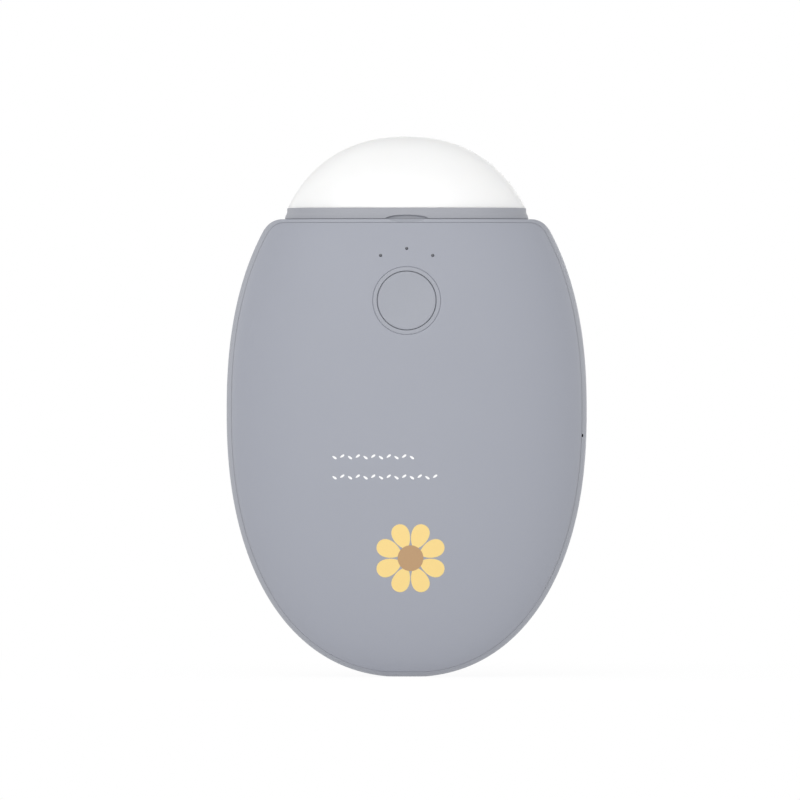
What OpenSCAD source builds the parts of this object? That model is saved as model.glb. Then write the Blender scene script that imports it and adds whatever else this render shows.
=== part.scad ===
/* [Case] */
// Width of the case at its widest
case_w = 70; // [68:0.5:76]
// Height of the oval that the case is cut from
oval_h = 103.8; // [102:0.2:112]
// Depth of the case, front to back
case_d = 28; // [27:0.5:32]
// Squareness of the oval seen from the front, where 2 is an ellipse
outline_power = 2.27; // [2.15:0.01:2.5]
// Squareness of the case's section, where 2 is an ellipse
section_power = 2.6; // [2.4:0.05:3]
// Width of the flat band round the case's edge
edge_band = 3; // [2:0.5:5]
// Height trimmed off the oval for the flat foot
foot_trim = 0.15; // [0.1:0.05:0.6]
// Height of the oval's top that is cut off for the deck
deck_cut = 14.85; // [13.5:0.05:16]
// Radius of the deck's two end corners
deck_corner_r = 4; // [3:0.1:4.5]

/* [Covers and frame] */
// Wall of the two covers
cover_wall = 1.8; // [1.4:0.1:2]
// Distance of a cover's seam inside the case's outline
seam_inset = 0.95; // [0.9:0.05:1.3]
// Distance of a cover's seam under the deck
seam_drop = 0.68; // [0.6:0.02:0.8]
// Gap between a cover's edge and the frame
seam_gap = 0.15; // [0.1:0.01:0.2]
// Depth of a cover's rim behind its seam
rim_depth = 2.4; // [2:0.1:2.8]
// Width of the frame from the outline to its inner wall
frame_wall = 3.5; // [3.3:0.1:3.8]
// Thickness of the deck
deck_t = 2.6; // [2.5:0.1:3]
// Width of the vent slot in the seam
vent_w = 0.42; // [0.4:0.02:0.6]
// Height of the vent slot
vent_h = 0.8; // [0.7:0.05:1.2]
// Height of the vent slot under the oval's centre
vent_drop = 5; // [3:0.5:15]

/* [Button and dots] */
// Height of the button's middle under the deck
button_drop = 15.81; // [15:0.01:17]
// Diameter of the button cap
button_d = 11.2; // [10:0.1:12]
// Gap round the button cap
button_gap = 0.3; // [0.3:0.05:0.5]
// Width of the bezel ring round the button
bezel_w = 0.7; // [0.7:0.05:1.2]
// Depth of the bezel ring
bezel_t = 1.2; // [1:0.1:1.3]
// Length of the button's stem behind its flange
stem_h = 0.3; // [0.3:0.1:1.5]
// Travel of the button
button_travel = 0.5; // [0.3:0.05:0.5]
// Diameter of an indicator dot
dot_d = 0.6; // [0.6:0.05:1]
// Distance of the dots from the button's centre
dot_arc_r = 10.1; // [9.8:0.1:10.6]
// Angle between neighbouring dots
dot_angle = 30; // [25:1:32]

/* [Lamp cap] */
// Height of the cap ring's top above the deck
ring_top = 2.2; // [2.1:0.1:3]
// Shadow gap under the cap ring
ring_gap = 0.3; // [0.25:0.05:0.4]
// Step between the ring's foot and the flat deck's ends
ring_end_step = 0.5; // [0.4:0.1:2]
// Step between the ring's foot and the deck's front edge
ring_front_step = 1.6; // [1.2:0.1:2.2]
// Squareness of the cap seen from above, where 2 is an ellipse
plan_power = 2.6; // [2.2:0.1:3]
// Height of the dome above its ring
dome_h = 13.94; // [11:0.02:18]
// Wall of the dome
dome_wall = 1.8; // [1.4:0.1:2]
// Depth of the dome profile's middle under the ring's top, as a share of the dome's height
dome_sink_share = 0.907; // [0.1:0.001:1.2]
// Squareness of the dome's profile, where 2 is an ellipse
dome_power = 2.18; // [1.9:0.02:2.4]
// Radius of the fingernail scoop
scoop_r = 12; // [9:0.5:16]
// Height of the scoop's arch in the ring
scoop_rise = 0.7; // [0.5:0.05:1]

/* [Cells and boards] */
// Room beside the battery cells on each side
cell_side_room = 13; // [13:0.5:16]
// Room between the battery cells and the foot
cell_foot_room = 20.9; // [20.9:0.5:26]
// Height of the cells' upper edge under the deck
cell_drop = 28.05; // [28:0.05:30]
// Play between the cells' foam pads and the heating films
cell_play = 0.3; // [0.2:0.05:0.6]
// Thickness of the chassis
chassis_t = 1.2; // [1:0.1:1.4]
// Room beside the main board on each side
board_side_room = 15; // [14:0.5:16]
// Thickness of the boards
board_t = 1.2; // [0.8:0.1:1.2]
// Thickness of a heat plate
plate_t = 0.8; // [0.5:0.1:0.8]
// Thickness of a heating film
film_t = 0.3; // [0.2:0.05:0.3]
// Thickness of a foam pad
foam_t = 0.9; // [0.6:0.1:0.9]

/* [Hidden] */
// Segments of one half of an outline: foot, side, corner and top
foot_steps = 2;
side_steps = 16;
corner_steps = 3;
top_steps = 5;
// Rings of a cover's skin, and those that a heater reaches
skin_rings = 8;
heater_rings = 5;
// Segments of the cap seen from above, rings of the dome, and segments of the button's wide hollow
plan_steps = 44;
dome_rings = 9;
bowl_steps = 360;
$fn = 48;

// Overrun of cuts, and depth to which one form is rooted in another
over = 1;
root = 0.5;
// Clearance of pieces that lie on each other
lay_gap = 0.05;
// Clearance of pieces that slip into or past each other
slip_gap = 0.1;
// Clearance of loose pieces
free_gap = 0.3;

// Height of the oval's centre above the foot, and heights above that centre
mid_z = oval_h / 2 - foot_trim;
deck_rise = oval_h / 2 - deck_cut;
button_rise = deck_rise - button_drop;
cell_rise = deck_rise - cell_drop;

// Bands of the frame's outside between its seam and the outline, as shares of the way
lip_shares = [0, 0.4, 0.75, 0.93, 1];

// Pad behind the button and the cap's flange
pad_w = 1.3;
pad_t = 0.9;
flange_w = 1.05;
flange_t = 0.8;
stem_d = 4;
dish_depth = 0.2;
face_r = button_d / 2;

// Tact switch
switch_w = 6;
switch_t = 1.8;
plunger_d = 3.4;
plunger_out = 0.8;
plunger_in = 1;

// Light pipes and their bar
pipe_d = 1.8;
pipe_bar_t = 0.8;
pipe_bar_margin = 1.2;
led_w = 1.6;
led_h = 0.8;
led_t = 0.6;

// Lamp base on the deck
base_flange_h = 1.1;
base_inset = 3.35;
slot_end_in = 4.15;
slot_depth_share = 0.487;
// Share of the room between inlet and magnet that a lens takes
lens_share = 0.584;
lens_wall = 1.4;
lens_t = 0.8;
lens_seat_w = 0.5;
base_post_d = 3.6;
base_post_h = 3.1;
base_post_in = 0.7;
magnet_in = 5.55;
magnet_d = 3;
magnet_t = 1;

// Cap ring's section, as distances in from its foot and up from the deck
ring_lip_in = 0.45;
ring_lip_h = 0.75;
ring_flare_in = [0.33, 0.12];
ring_flare_z = [1.05, 0.65];
dome_step = 0.15;
collar_w = 1;
collar_h = 0.5;
collar_taper = 0.35;
ring_bore_in = 3.1;
ring_flange_in = 5;
ear_d = 5.4;
ear_h = 1.6;
scoop_depth = 1.2;
scoop_cove_r = 1;
nail_r = 16.3;
nail_depth = 0.45;
dome_sink = dome_sink_share * dome_h;

// Top board with the inlet
inlet_w = 8.94;
inlet_d = 3.16;
inlet_wall = 0.3;
tongue_w = 6.7;
tongue_d = 0.7;
tongue_gap = 0.8;
top_board_margin = 2;
top_board_in = 0.9;
top_board_t = 1;
lamp_led_w = 3.5;
lamp_led_d = 2.8;
lamp_led_t = 0.7;

// Screws
screw_d = 1.9;
screw_hole_gap = 0.3;
screw_head_d = 3.5;
screw_head_t = 1.2;
screw_socket_d = 1.3;
screw_socket_t = 0.6;
small_screw_d = 1.5;
small_head_d = 2.8;

// Chassis
chassis_inset = 4;
chassis_drop = deck_t + base_post_h + top_board_t + screw_head_t + 2 * free_gap;
cell_r = 2;
cell_rim_w = 1;
cell_rim_h = 3;
cell_clear = 0.2;
chassis_screw_drop = 17.05;
chassis_screw_foot = 15.9;
chassis_screw_z = [deck_rise - chassis_screw_drop, chassis_screw_foot - oval_h / 2];
chassis_boss_d = 5;
chassis_boss_in = 3.1;
chassis_gusset_t = 1.8;
chassis_screw_grip = 1.8;
board_screw_in = 3;
board_screw_drop = [22.55, 11.55];
board_screw_z = [for (drop = board_screw_drop) deck_rise - drop];
board_post_d = 4.4;
foam_margin = 2.5;

// Main board, from the cells up to the deck
board_lift = 2.3;
board_top_gap = 1.45;
// Chips of the main board: middle across and up, width and height, as shares of the board
chip_shares = [[-0.24, 0.28, 0.125, 0.23], [-0.25, 0.66, 0.1, 0.23], [0.28, 0.7, 0.08, 0.15]];
chip_t = 0.7;
// Inductor: middle across and up, and width, as shares of the board
inductor_shares = [0.28, 0.36, 0.15];
inductor_t = 3;
inductor_r = 1;

// Leads and tabs
lead_d = 1.2;
heater_lead_d = 1;
heater_lead_in = 7;
front_lead_run = 5;
back_lead_run = 8;
back_lead_rise = 14;
sensor_size = [2.4, 1.2, 3];
sensor_drop = 8;
guard_lift = 3;
guard_h = 5;
guard_in = 7;
lead_rise = 3;
lead_start = 2;
tab_w = 4;
tab_t = 0.2;
tab_margin = 1;
ribbon_w = 6;
ribbon_t = 0.3;

// Widths and heights that follow from the case
cell_w = case_w - 2 * cell_side_room;
cell_h = cell_rise + oval_h / 2 - cell_foot_room;
board_w = case_w - 2 * board_side_room;
board_screw_x = board_w / 2 - board_screw_in;
heater_lead_x = board_w / 2 - heater_lead_in;
guard_w = cell_w - 2 * guard_in;
tab_x = guard_w / 3;

// A number's power with the number's own sign
function signed_power(value, power) = sign(value) * pow(abs(value), power);

// How far a place lies from the oval's centre, as a share of the way to the oval less a wall
function oval_share(p, wall) =
    pow(
        pow(abs(p[0]) / (case_w / 2 - wall), outline_power)
            + pow(abs(p[1]) / (oval_h / 2 - wall), outline_power),
        1 / outline_power
    );

// Half depth of the case at a place seen from the front, less a wall
function half_depth(p, wall) =
    let (share = min(1, oval_share(p, wall)))
    edge_band / 2
        + (case_d / 2 - wall - edge_band / 2)
            * pow(1 - pow(share, section_power), 1 / section_power);

// Half width of the oval less an inset at a height
function half_width(z, inset) =
    (case_w / 2 - inset) * pow(1 - pow(abs(z) / (oval_h / 2 - inset), outline_power), 1 / outline_power);

// Radius of an outline's top corners, smaller the further it lies under the deck
function corner_r(drop) = deck_corner_r * deck_corner_r / (deck_corner_r + drop);

// Half width of the flat top of an outline
function flat_half_width(inset, drop) =
    half_width(deck_rise - drop - corner_r(drop), inset + corner_r(drop));

// Right half of an outline from the middle of its foot to the middle of its top
function half_outline(inset, drop) =
    let (
        half_w = case_w / 2 - inset,
        half_h = oval_h / 2 - inset,
        r = corner_r(drop),
        foot = foot_trim - half_h,
        foot_angle = asin(pow(-foot / half_h, outline_power / 2)),
        foot_x = half_w * pow(cos(foot_angle), 2 / outline_power),
        corner_x = flat_half_width(inset, drop),
        corner_z = deck_rise - drop - r,
        slope_x = pow(corner_x / (half_w - r), outline_power - 1) / (half_w - r),
        slope_z = pow(corner_z / (half_h - r), outline_power - 1) / (half_h - r),
        start = atan2(slope_z, slope_x),
        side_angle = asin(pow((corner_z + r * sin(start)) / half_h, outline_power / 2))
    )
    concat(
        [for (i = [0 : foot_steps - 1]) [foot_x * i / foot_steps, foot]],
        [for (i = [0 : side_steps])
            let (t = -foot_angle + (side_angle + foot_angle) * i / side_steps)
            [half_w * signed_power(cos(t), 2 / outline_power),
                half_h * signed_power(sin(t), 2 / outline_power)]],
        [for (i = [1 : corner_steps])
            let (t = start + (90 - start) * i / corner_steps)
            [corner_x + r * cos(t), corner_z + r * sin(t)]],
        [for (i = [1 : top_steps])
            [corner_x * (1 - i / top_steps), deck_rise - drop]]
    );

// Whole outline, anticlockwise seen from the front, from the middle of its foot
function outline(inset, drop) =
    let (half = half_outline(inset, drop), last = len(half) - 1)
    concat(half, [for (i = [last - 1 : -1 : 1]) [-half[i][0], half[i][1]]]);

// Seam of a cover, the frame's edge beside it, and the inner edges of both
seam_edge = outline(seam_inset, seam_drop);
seam_inner = outline(seam_inset + cover_wall, seam_drop + cover_wall);
frame_edge = outline(seam_inset - seam_gap, seam_drop - seam_gap);
frame_inner = outline(frame_wall, deck_t);
case_edge = outline(0, 0);
// Depth of the rims' ends in front of the middle, point by point
rim_y = [for (p = seam_edge) half_depth(p, 0) - rim_depth];

// Share of the way out at which a skin's ring lies
function ring_share(k) = sin(90 * k / skin_rings);

// Ring of the front skin, on an edge drawn in to a share, under a wall and a further layer
function skin_ring(edge, share, wall, layer) =
    [for (p = edge) [p[0] * share, layer - half_depth(p * share, wall), p[1] * share]];

// Two triangles for each step round two neighbouring rings, split one way or turned the other way
function strip_faces(a, b, count, turned) =
    [for (i = [0 : count - 1])
        let (
            j = (i + 1) % count,
            near = [a * count + i, a * count + j],
            far = [b * count + i, b * count + j]
        )
        each turned
            ? [[near[0], near[1], far[0]], [near[1], far[1], far[0]]]
            : [[near[0], near[1], far[1]], [near[0], far[1], far[0]]]];

// Closed solid through rings, with a point at each end. The way back is split as the way out is, so
// that an inner skin runs even with the outer skin of the next layer
module capped_skin(first, rings, last) {
    count = len(rings[0]);
    total = len(rings);
    tip = total * count;
    polyhedron(
        points = concat([for (ring = rings) each ring], [first, last]),
        faces = concat(
            [for (i = [0 : count - 1]) [tip, (i + 1) % count, i]],
            [for (k = [0 : total - 2]) each strip_faces(k, k + 1, count, k >= total / 2)],
            [for (i = [0 : count - 1])
                [tip + 1, (total - 1) * count + i, (total - 1) * count + (i + 1) % count]]
        )
    );
}

// Closed band through rings, whose last ring meets the first
module ring_skin(rings) {
    count = len(rings[0]);
    total = len(rings);
    polyhedron(
        points = [for (ring = rings) each ring],
        faces = [for (k = [0 : total - 1]) each strip_faces(k, (k + 1) % total, count, false)]
    );
}

// Outline of the cap seen from above, drawn in from the ring's foot
ring_half_w = flat_half_width(0, 0) - ring_end_step;
ring_half_d = half_depth([0, deck_rise], 0) - ring_front_step;
function cap_plan(inset) =
    [for (i = [0 : plan_steps - 1])
        let (t = 360 * i / plan_steps)
        [(ring_half_w - inset) * signed_power(cos(t), 2 / plan_power),
            (ring_half_d - inset) * signed_power(sin(t), 2 / plan_power)]];
function cap_level(inset, share, z) = [for (p = cap_plan(inset)) [p[0] * share, p[1] * share, z]];

// Slot in the deck, magnets and posts in from the ring's ends, and lenses between magnets and inlet
slot_half_w = ring_half_w - slot_end_in;
slot_half_d = slot_depth_share * ring_half_d;
magnet_x = ring_half_w - magnet_in;
base_post_x = magnet_x - base_post_in;
lens_span = [inlet_w / 2, magnet_x - magnet_d / 2];
lens_x = (lens_span[0] + lens_span[1]) / 2;
lens_d = min(lens_share * (lens_span[1] - lens_span[0]), 2 * (slot_half_d - lens_wall));
top_board_w = 2 * (base_post_x + top_board_margin);
top_board_d = 2 * (slot_half_d - top_board_in);

// Block between two values on each axis
module block(x, y, z) {
    translate([x[0], y[0], z[0]]) cube([x[1] - x[0], y[1] - y[0], z[1] - z[0]]);
}

// Block centred on the middle plane, by its width
module wide_block(width, y, z) block([-width / 2, width / 2], y, z);

// Rod along the depth
module rod(x, y, z, d) {
    translate([x, y[0], z]) rotate([-90, 0, 0]) cylinder(h = y[1] - y[0], d = d);
}

// Round pin up from a height
module pin(x, y, z, d) {
    translate([x, y, z[0]]) cylinder(h = z[1] - z[0], d = d);
}

// Plate with round corners, across the depth
module soft_block(x, y, z, r) {
    block([x[0] + r, x[1] - r], y, z);
    block(x, y, [z[0] + r, z[1] - r]);
    for (cx = [x[0] + r, x[1] - r], cz = [z[0] + r, z[1] - r]) rod(cx, y, cz, 2 * r);
}

// Slot with round ends, along the width
module long_slot(half_w, half_d, z) {
    block([half_d - half_w, half_w - half_d], [-half_d, half_d], z);
    for (side = [-1, 1]) pin(side * (half_w - half_d), 0, z, 2 * half_d);
}

module at_mid() translate([0, 0, mid_z]) children();
module at_deck() translate([0, 0, mid_z + deck_rise]) children();
module to_back() mirror([0, 1, 0]) children();

// Button: front face on the case, tilted as the case is there
button_y = -half_depth([0, button_rise], 0);
button_tilt = atan2(
    half_depth([0, button_rise - face_r], 0) - half_depth([0, button_rise + face_r], 0), 2 * face_r);
hole_d = button_d + 2 * button_gap;
bezel_d = hole_d + 2 * bezel_w;
bezel_seat_y = button_y + bezel_t;
pad_d = bezel_d + 2 * pad_w;
pad_y = -half_depth([0, button_rise], cover_wall) + pad_t;
flange_y = pad_y + free_gap;
// Places of the switch and the main board behind it, and the posts that carry the board
stem_y = flange_y + flange_t + stem_h;
plunger_y = stem_y + slip_gap;
switch_y = plunger_y + plunger_out;
board_front_y = switch_y + switch_t;
board_back_y = board_front_y + board_t;
web_y = chassis_t / 2;
board_post_h = -web_y - board_back_y;
board_top = deck_rise - deck_t - board_top_gap;
board_bottom = cell_rise + board_lift;
board_h = board_top - board_bottom;

// All that lies in front of the button's tilted face
module before_face() {
    translate([0, button_y, button_rise])
        rotate([-button_tilt, 0, 0])
            block([-bezel_d, bezel_d], [-bezel_d, 0], [-bezel_d, bezel_d]);
}

// Places of the dots
dots = [for (turn = [-dot_angle, 0, dot_angle])
    [dot_arc_r * sin(turn), button_rise + dot_arc_r * cos(turn)]];
pipe_bar_y = -half_depth([dots[2][0] + pipe_bar_margin, dots[1][1] + pipe_bar_margin], cover_wall) + slip_gap;

module cover_shell() {
    capped_skin(
        [0, -half_depth([0, 0], 0), 0],
        concat(
            [for (k = [1 : skin_rings]) skin_ring(seam_edge, ring_share(k), 0, 0)],
            [[for (i = [0 : len(seam_edge) - 1]) [seam_edge[i][0], -rim_y[i], seam_edge[i][1]]]],
            [[for (i = [0 : len(seam_inner) - 1]) [seam_inner[i][0], -rim_y[i], seam_inner[i][1]]]],
            [for (k = [skin_rings : -1 : 1]) skin_ring(seam_inner, ring_share(k), cover_wall, 0)]
        ),
        [0, -half_depth([0, 0], cover_wall), 0]
    );
}

module vent_slot() {
    x = half_width(-vent_drop, seam_inset);
    block([x - vent_w / 2, x + vent_w / 2], [-case_d / 2, -edge_band / 2],
        [-vent_drop - vent_h / 2, -vent_drop + vent_h / 2]);
}

module front_cover() color("#a9abb5") at_mid() {
    difference() {
        union() {
            cover_shell();
            rod(0, [bezel_seat_y, pad_y], button_rise, pad_d);
        }
        rod(0, [-case_d, 0], button_rise, hole_d);
        rod(0, [-case_d, bezel_seat_y], button_rise, bezel_d + 2 * lay_gap);
        for (p = dots) rod(p[0], [-case_d, 0], p[1], dot_d + 2 * lay_gap);
    }
}

module back_cover() color("#a9abb5") at_mid() to_back() cover_shell();

// Frame round the case, without its bosses and cuts
module frame_band() {
    lip = [for (share = lip_shares)
        [for (i = [0 : len(case_edge) - 1])
            let (p = frame_edge[i] * (1 - share) + case_edge[i] * share)
            [p[0], -half_depth(p, 0), p[1]]]];
    last = len(lip) - 1;
    seat = [for (y = rim_y) y - lay_gap];
    ring_skin(concat(
        lip,
        [for (k = [last : -1 : 0]) [for (p = lip[k]) [p[0], -p[1], p[2]]]],
        [[for (i = [0 : len(seat) - 1]) [frame_edge[i][0], seat[i], frame_edge[i][1]]]],
        [[for (i = [0 : len(seat) - 1]) [frame_inner[i][0], seat[i], frame_inner[i][1]]]],
        [[for (i = [0 : len(seat) - 1]) [frame_inner[i][0], -seat[i], frame_inner[i][1]]]],
        [[for (i = [0 : len(seat) - 1]) [frame_edge[i][0], -seat[i], frame_edge[i][1]]]]
    ));
}

// Place of a chassis screw across the width, and the depth of the frame behind it
function chassis_screw_x(z) = half_width(z, frame_wall) - chassis_boss_in;
chassis_boss_y = half_depth([case_w / 2 - seam_inset, 0], 0) - rim_depth - slip_gap;

module mid_frame() color("#9ea0ab") at_mid() {
    difference() {
        union() {
            frame_band();
            for (side = [-1, 1], z = chassis_screw_z) {
                x = chassis_screw_x(z);
                rod(side * x, [web_y + lay_gap, chassis_boss_y], z, chassis_boss_d);
                reach = [side * x, side * (x + chassis_boss_in + lay_gap)];
                block([min(reach), max(reach)], [web_y + lay_gap, web_y + chassis_gusset_t],
                    [z - chassis_boss_d / 4, z + chassis_boss_d / 4]);
            }
        }
        for (side = [-1, 1], z = chassis_screw_z)
            rod(side * chassis_screw_x(z), [0, case_d], z, screw_d + 2 * lay_gap);
        long_slot(slot_half_w, slot_half_d, [deck_rise - deck_t - over, deck_rise + over]);
        vent_slot();
        translate([0, -half_depth([0, deck_rise], 0), deck_rise])
            rotate([45, 0, 0]) translate([0, 0, nail_r - nail_depth]) sphere(r = nail_r);
    }
}

module button_bezel() color("#b3b5be") at_mid() {
    difference() {
        rod(0, [button_y - bezel_t, bezel_seat_y - lay_gap], button_rise, bezel_d);
        rod(0, [-case_d, 0], button_rise, hole_d);
        before_face();
    }
}

module button_cap() color("#a9abb5") at_mid() {
    bowl_r = (pow(face_r, 2) + pow(dish_depth, 2)) / (2 * dish_depth);
    difference() {
        union() {
            rod(0, [button_y - bezel_t, flange_y + flange_t], button_rise, button_d);
            rod(0, [flange_y, flange_y + flange_t], button_rise, hole_d + 2 * flange_w);
            rod(0, [flange_y, stem_y], button_rise, stem_d);
        }
        before_face();
        translate([0, button_y, button_rise])
            rotate([-button_tilt, 0, 0])
                translate([0, dish_depth - bowl_r, 0]) sphere(r = bowl_r, $fn = bowl_steps);
    }
}

module light_pipes() color("#5a5c62") at_mid() {
    for (p = dots) {
        rod(p[0], [-half_depth(p, 0) + lay_gap, pipe_bar_y + pipe_bar_t], p[1], dot_d);
        rod(p[0], [pipe_bar_y, board_front_y - led_t - lay_gap], p[1], pipe_d);
    }
    block([dots[0][0] - pipe_bar_margin, dots[2][0] + pipe_bar_margin],
        [pipe_bar_y, pipe_bar_y + pipe_bar_t],
        [dots[0][1] - pipe_bar_margin, dots[1][1] + pipe_bar_margin]);
}

// Cap: a ring with a flange over the lamp base and a collar inside the dome
dome_inset = ring_lip_in + dome_step;
collar_inset = dome_inset + dome_wall + slip_gap;

module cap_ring() color("#a9abb5") at_deck() {
    flange_z = base_flange_h + slip_gap;
    section = [
        [collar_inset + collar_w, ring_top + collar_h],
        [collar_inset + collar_taper, ring_top + collar_h],
        [collar_inset, ring_top],
        [ring_lip_in, ring_top],
        [ring_lip_in, ring_top - ring_lip_h],
        [ring_flare_in[0], ring_flare_z[0]],
        [ring_flare_in[1], ring_flare_z[1]],
        [0, ring_gap],
        [ring_bore_in, ring_gap],
        [ring_bore_in, flange_z],
        [ring_flange_in, flange_z],
        [ring_flange_in, ring_top],
        [collar_inset + collar_w, ring_top]
    ];
    difference() {
        union() {
            ring_skin([for (p = section) cap_level(p[0], 1, p[1])]);
            for (side = [-1, 1]) pin(side * magnet_x, 0, [flange_z, flange_z + ear_h], ear_d);
        }
        for (side = [-1, 1])
            pin(side * magnet_x, 0, [flange_z - over, flange_z + magnet_t + lay_gap],
                magnet_d + 2 * lay_gap);
        scoop();
    }
}

// Round cutter along Y with a hollow fillet round its inner end
module scoop() {
    translate([0, -ring_half_d - over, ring_gap + scoop_rise - scoop_r]) rotate([-90, 0, 0])
        rotate_extrude() {
            square([scoop_r, over + scoop_depth - scoop_cove_r]);
            square([scoop_r - scoop_cove_r, over + scoop_depth]);
            translate([scoop_r - scoop_cove_r, over + scoop_depth - scoop_cove_r])
                circle(r = scoop_cove_r);
        }
}

// Half size of the dome at a height, as a share of its size at the centre of its profile
function dome_share(z, height) = pow(1 - pow(z / height, dome_power), 1 / dome_power);

// Ring of a dome skin drawn in by a wall, from its tip down to the cap ring
function dome_level(k, wall) =
    let (
        height = dome_h + dome_sink - wall,
        start = asin(pow(dome_sink / height, dome_power / 2)),
        t = 90 - (90 - start) * k / dome_rings,
        z = height * pow(sin(t), 2 / dome_power)
    )
    cap_level(dome_inset + wall, dome_share(z, height) / dome_share(dome_sink, height),
        ring_top + z - dome_sink);

module lamp_dome() color("#f7f6f3") at_deck() {
    capped_skin(
        [0, 0, ring_top + dome_h],
        concat(
            [for (k = [1 : dome_rings]) dome_level(k, 0)],
            [for (k = [dome_rings : -1 : 1]) dome_level(k, dome_wall)]
        ),
        [0, 0, ring_top + dome_h - dome_wall]
    );
}

module cap_magnets() color("#c9cbce") at_deck() {
    z = base_flange_h + slip_gap + lay_gap;
    for (side = [-1, 1]) pin(side * magnet_x, 0, [z, z + magnet_t - lay_gap], magnet_d);
}

module deck_magnets() color("#c9cbce") at_deck() {
    for (side = [-1, 1])
        pin(side * magnet_x, 0, [base_flange_h - magnet_t, base_flange_h], magnet_d);
}

// Height of the top board under the deck's underside
top_board_z = -deck_t - base_post_h;

module lamp_base() color("#efefec") at_deck() {
    difference() {
        union() {
            translate([0, 0, lay_gap])
                linear_extrude(base_flange_h - lay_gap) polygon(cap_plan(base_inset));
            long_slot(slot_half_w - slip_gap, slot_half_d - slip_gap, [-deck_t, ring_gap - lay_gap]);
            for (side = [-1, 1])
                pin(side * base_post_x, 0, [top_board_z + lay_gap, root - deck_t], base_post_d);
        }
        wide_block(inlet_w + 2 * slip_gap, [-inlet_d / 2 - slip_gap, inlet_d / 2 + slip_gap],
            [-deck_t - over, base_flange_h + over]);
        for (side = [-1, 1]) {
            pin(side * lens_x, 0, [-deck_t - over, base_flange_h + over], lens_d - 2 * lens_seat_w);
            pin(side * lens_x, 0, [base_flange_h - lens_t - lay_gap, base_flange_h + over],
                lens_d + 2 * lay_gap);
            pin(side * magnet_x, 0, [base_flange_h - magnet_t - lay_gap, base_flange_h + over],
                magnet_d + 2 * lay_gap);
            pin(side * base_post_x, 0, [top_board_z - over, top_board_z + base_post_h],
                small_screw_d + 2 * lay_gap);
        }
    }
}

module lamp_lenses() color("#f4f2ec") at_deck() {
    for (side = [-1, 1]) pin(side * lens_x, 0, [base_flange_h - lens_t, base_flange_h], lens_d);
}

module top_board() color("#2f6b46") at_deck() {
    difference() {
        wide_block(top_board_w, [-top_board_d / 2, top_board_d / 2],
            [top_board_z - top_board_t, top_board_z]);
        for (side = [-1, 1])
            pin(side * base_post_x, 0, [top_board_z - top_board_t - over, top_board_z + over],
                small_screw_d + screw_hole_gap);
    }
}

module lamp_leds() color("#f2d98a") at_deck() {
    for (side = [-1, 1])
        block([side * lens_x - lamp_led_w / 2, side * lens_x + lamp_led_w / 2],
            [-lamp_led_d / 2, lamp_led_d / 2], [top_board_z, top_board_z + lamp_led_t]);
}

module socket_shell() color("#b8babd") at_deck() {
    difference() {
        inlet_body(0, [top_board_z, base_flange_h]);
        inlet_body(inlet_wall, [top_board_z + inlet_wall, base_flange_h + over]);
    }
}

// Body of the inlet with round ends, less a wall
module inlet_body(wall, z) long_slot(inlet_w / 2 - wall, inlet_d / 2 - wall, z);

module socket_tongue() color("#26272a") at_deck() {
    wide_block(tongue_w, [-tongue_d / 2, tongue_d / 2],
        [top_board_z + inlet_wall, base_flange_h - tongue_gap]);
}

// Flat ribbon from the top board's underside back to the main board
module board_ribbon() color("#d9c48a") at_mid() {
    y = -web_y - free_gap;
    foot = board_screw_z[1] - board_post_d;
    wide_block(ribbon_w, [y - ribbon_t, y], [foot, deck_rise + top_board_z - top_board_t - lay_gap]);
    wide_block(ribbon_w, [board_back_y, y], [foot, foot + ribbon_t]);
}

module main_board() color("#2f6b46") at_mid() {
    difference() {
        wide_block(board_w, [board_front_y, board_back_y - lay_gap], [board_bottom, board_top]);
        for (side = [-1, 1], z = board_screw_z)
            rod(side * board_screw_x, [-case_d, 0], z, screw_d + screw_hole_gap);
    }
}

module board_chips() color("#26272a") at_mid() {
    for (share = chip_shares) {
        x = share[0] * board_w;
        z = board_bottom + share[1] * board_h;
        w = share[2] * board_w;
        h = share[3] * board_h;
        block([x - w / 2, x + w / 2], [board_front_y - chip_t, board_front_y - lay_gap],
            [z - h / 2, z + h / 2]);
    }
}

module power_inductor() color("#4a4c50") at_mid() {
    x = inductor_shares[0] * board_w;
    z = board_bottom + inductor_shares[1] * board_h;
    w = inductor_shares[2] * board_w;
    soft_block([x - w / 2, x + w / 2], [board_front_y - inductor_t, board_front_y - lay_gap],
        [z - w / 2, z + w / 2], inductor_r);
}

module indicator_leds() color("#f2f0e6") at_mid() {
    for (p = dots)
        block([p[0] - led_w / 2, p[0] + led_w / 2], [board_front_y - led_t, board_front_y],
            [p[1] - led_h / 2, p[1] + led_h / 2]);
}

module switch_base() color("#303236") at_mid() {
    difference() {
        wide_block(switch_w, [switch_y, board_front_y - lay_gap],
            [button_rise - switch_w / 2, button_rise + switch_w / 2]);
        rod(0, [switch_y - over, switch_y + plunger_in + button_travel + slip_gap], button_rise,
            plunger_d + 2 * slip_gap);
    }
}

module switch_plunger() color("#d8d9db") at_mid() {
    rod(0, [plunger_y, switch_y + plunger_in], button_rise, plunger_d);
}

// Depth of a heating film's inner face at a place
function film_y(p) = half_depth(p, cover_wall) - slip_gap - plate_t - lay_gap - film_t;

// Lead that runs up beside a film and turns back to a board
module film_lead(x, z, y, d) {
    rise = min(film_y([x, z[0]]), film_y([x, z[1] + d / 2])) - d / 2 - slip_gap;
    translate([x, -rise, z[0]]) cylinder(h = z[1] - z[0], d = d);
    translate([x, -rise, z[1]]) sphere(d = d);
    rod(x, [-rise, y], z[1], d);
}

sensor_z = [cell_rise - sensor_drop, cell_rise - sensor_drop + sensor_size[2]];

module temperature_sensor() color("#3a3b3f") at_mid() {
    y = -film_y([0, sensor_z[1]]) + slip_gap;
    wide_block(sensor_size[0], [y, y + sensor_size[1]], sensor_z);
}

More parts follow.
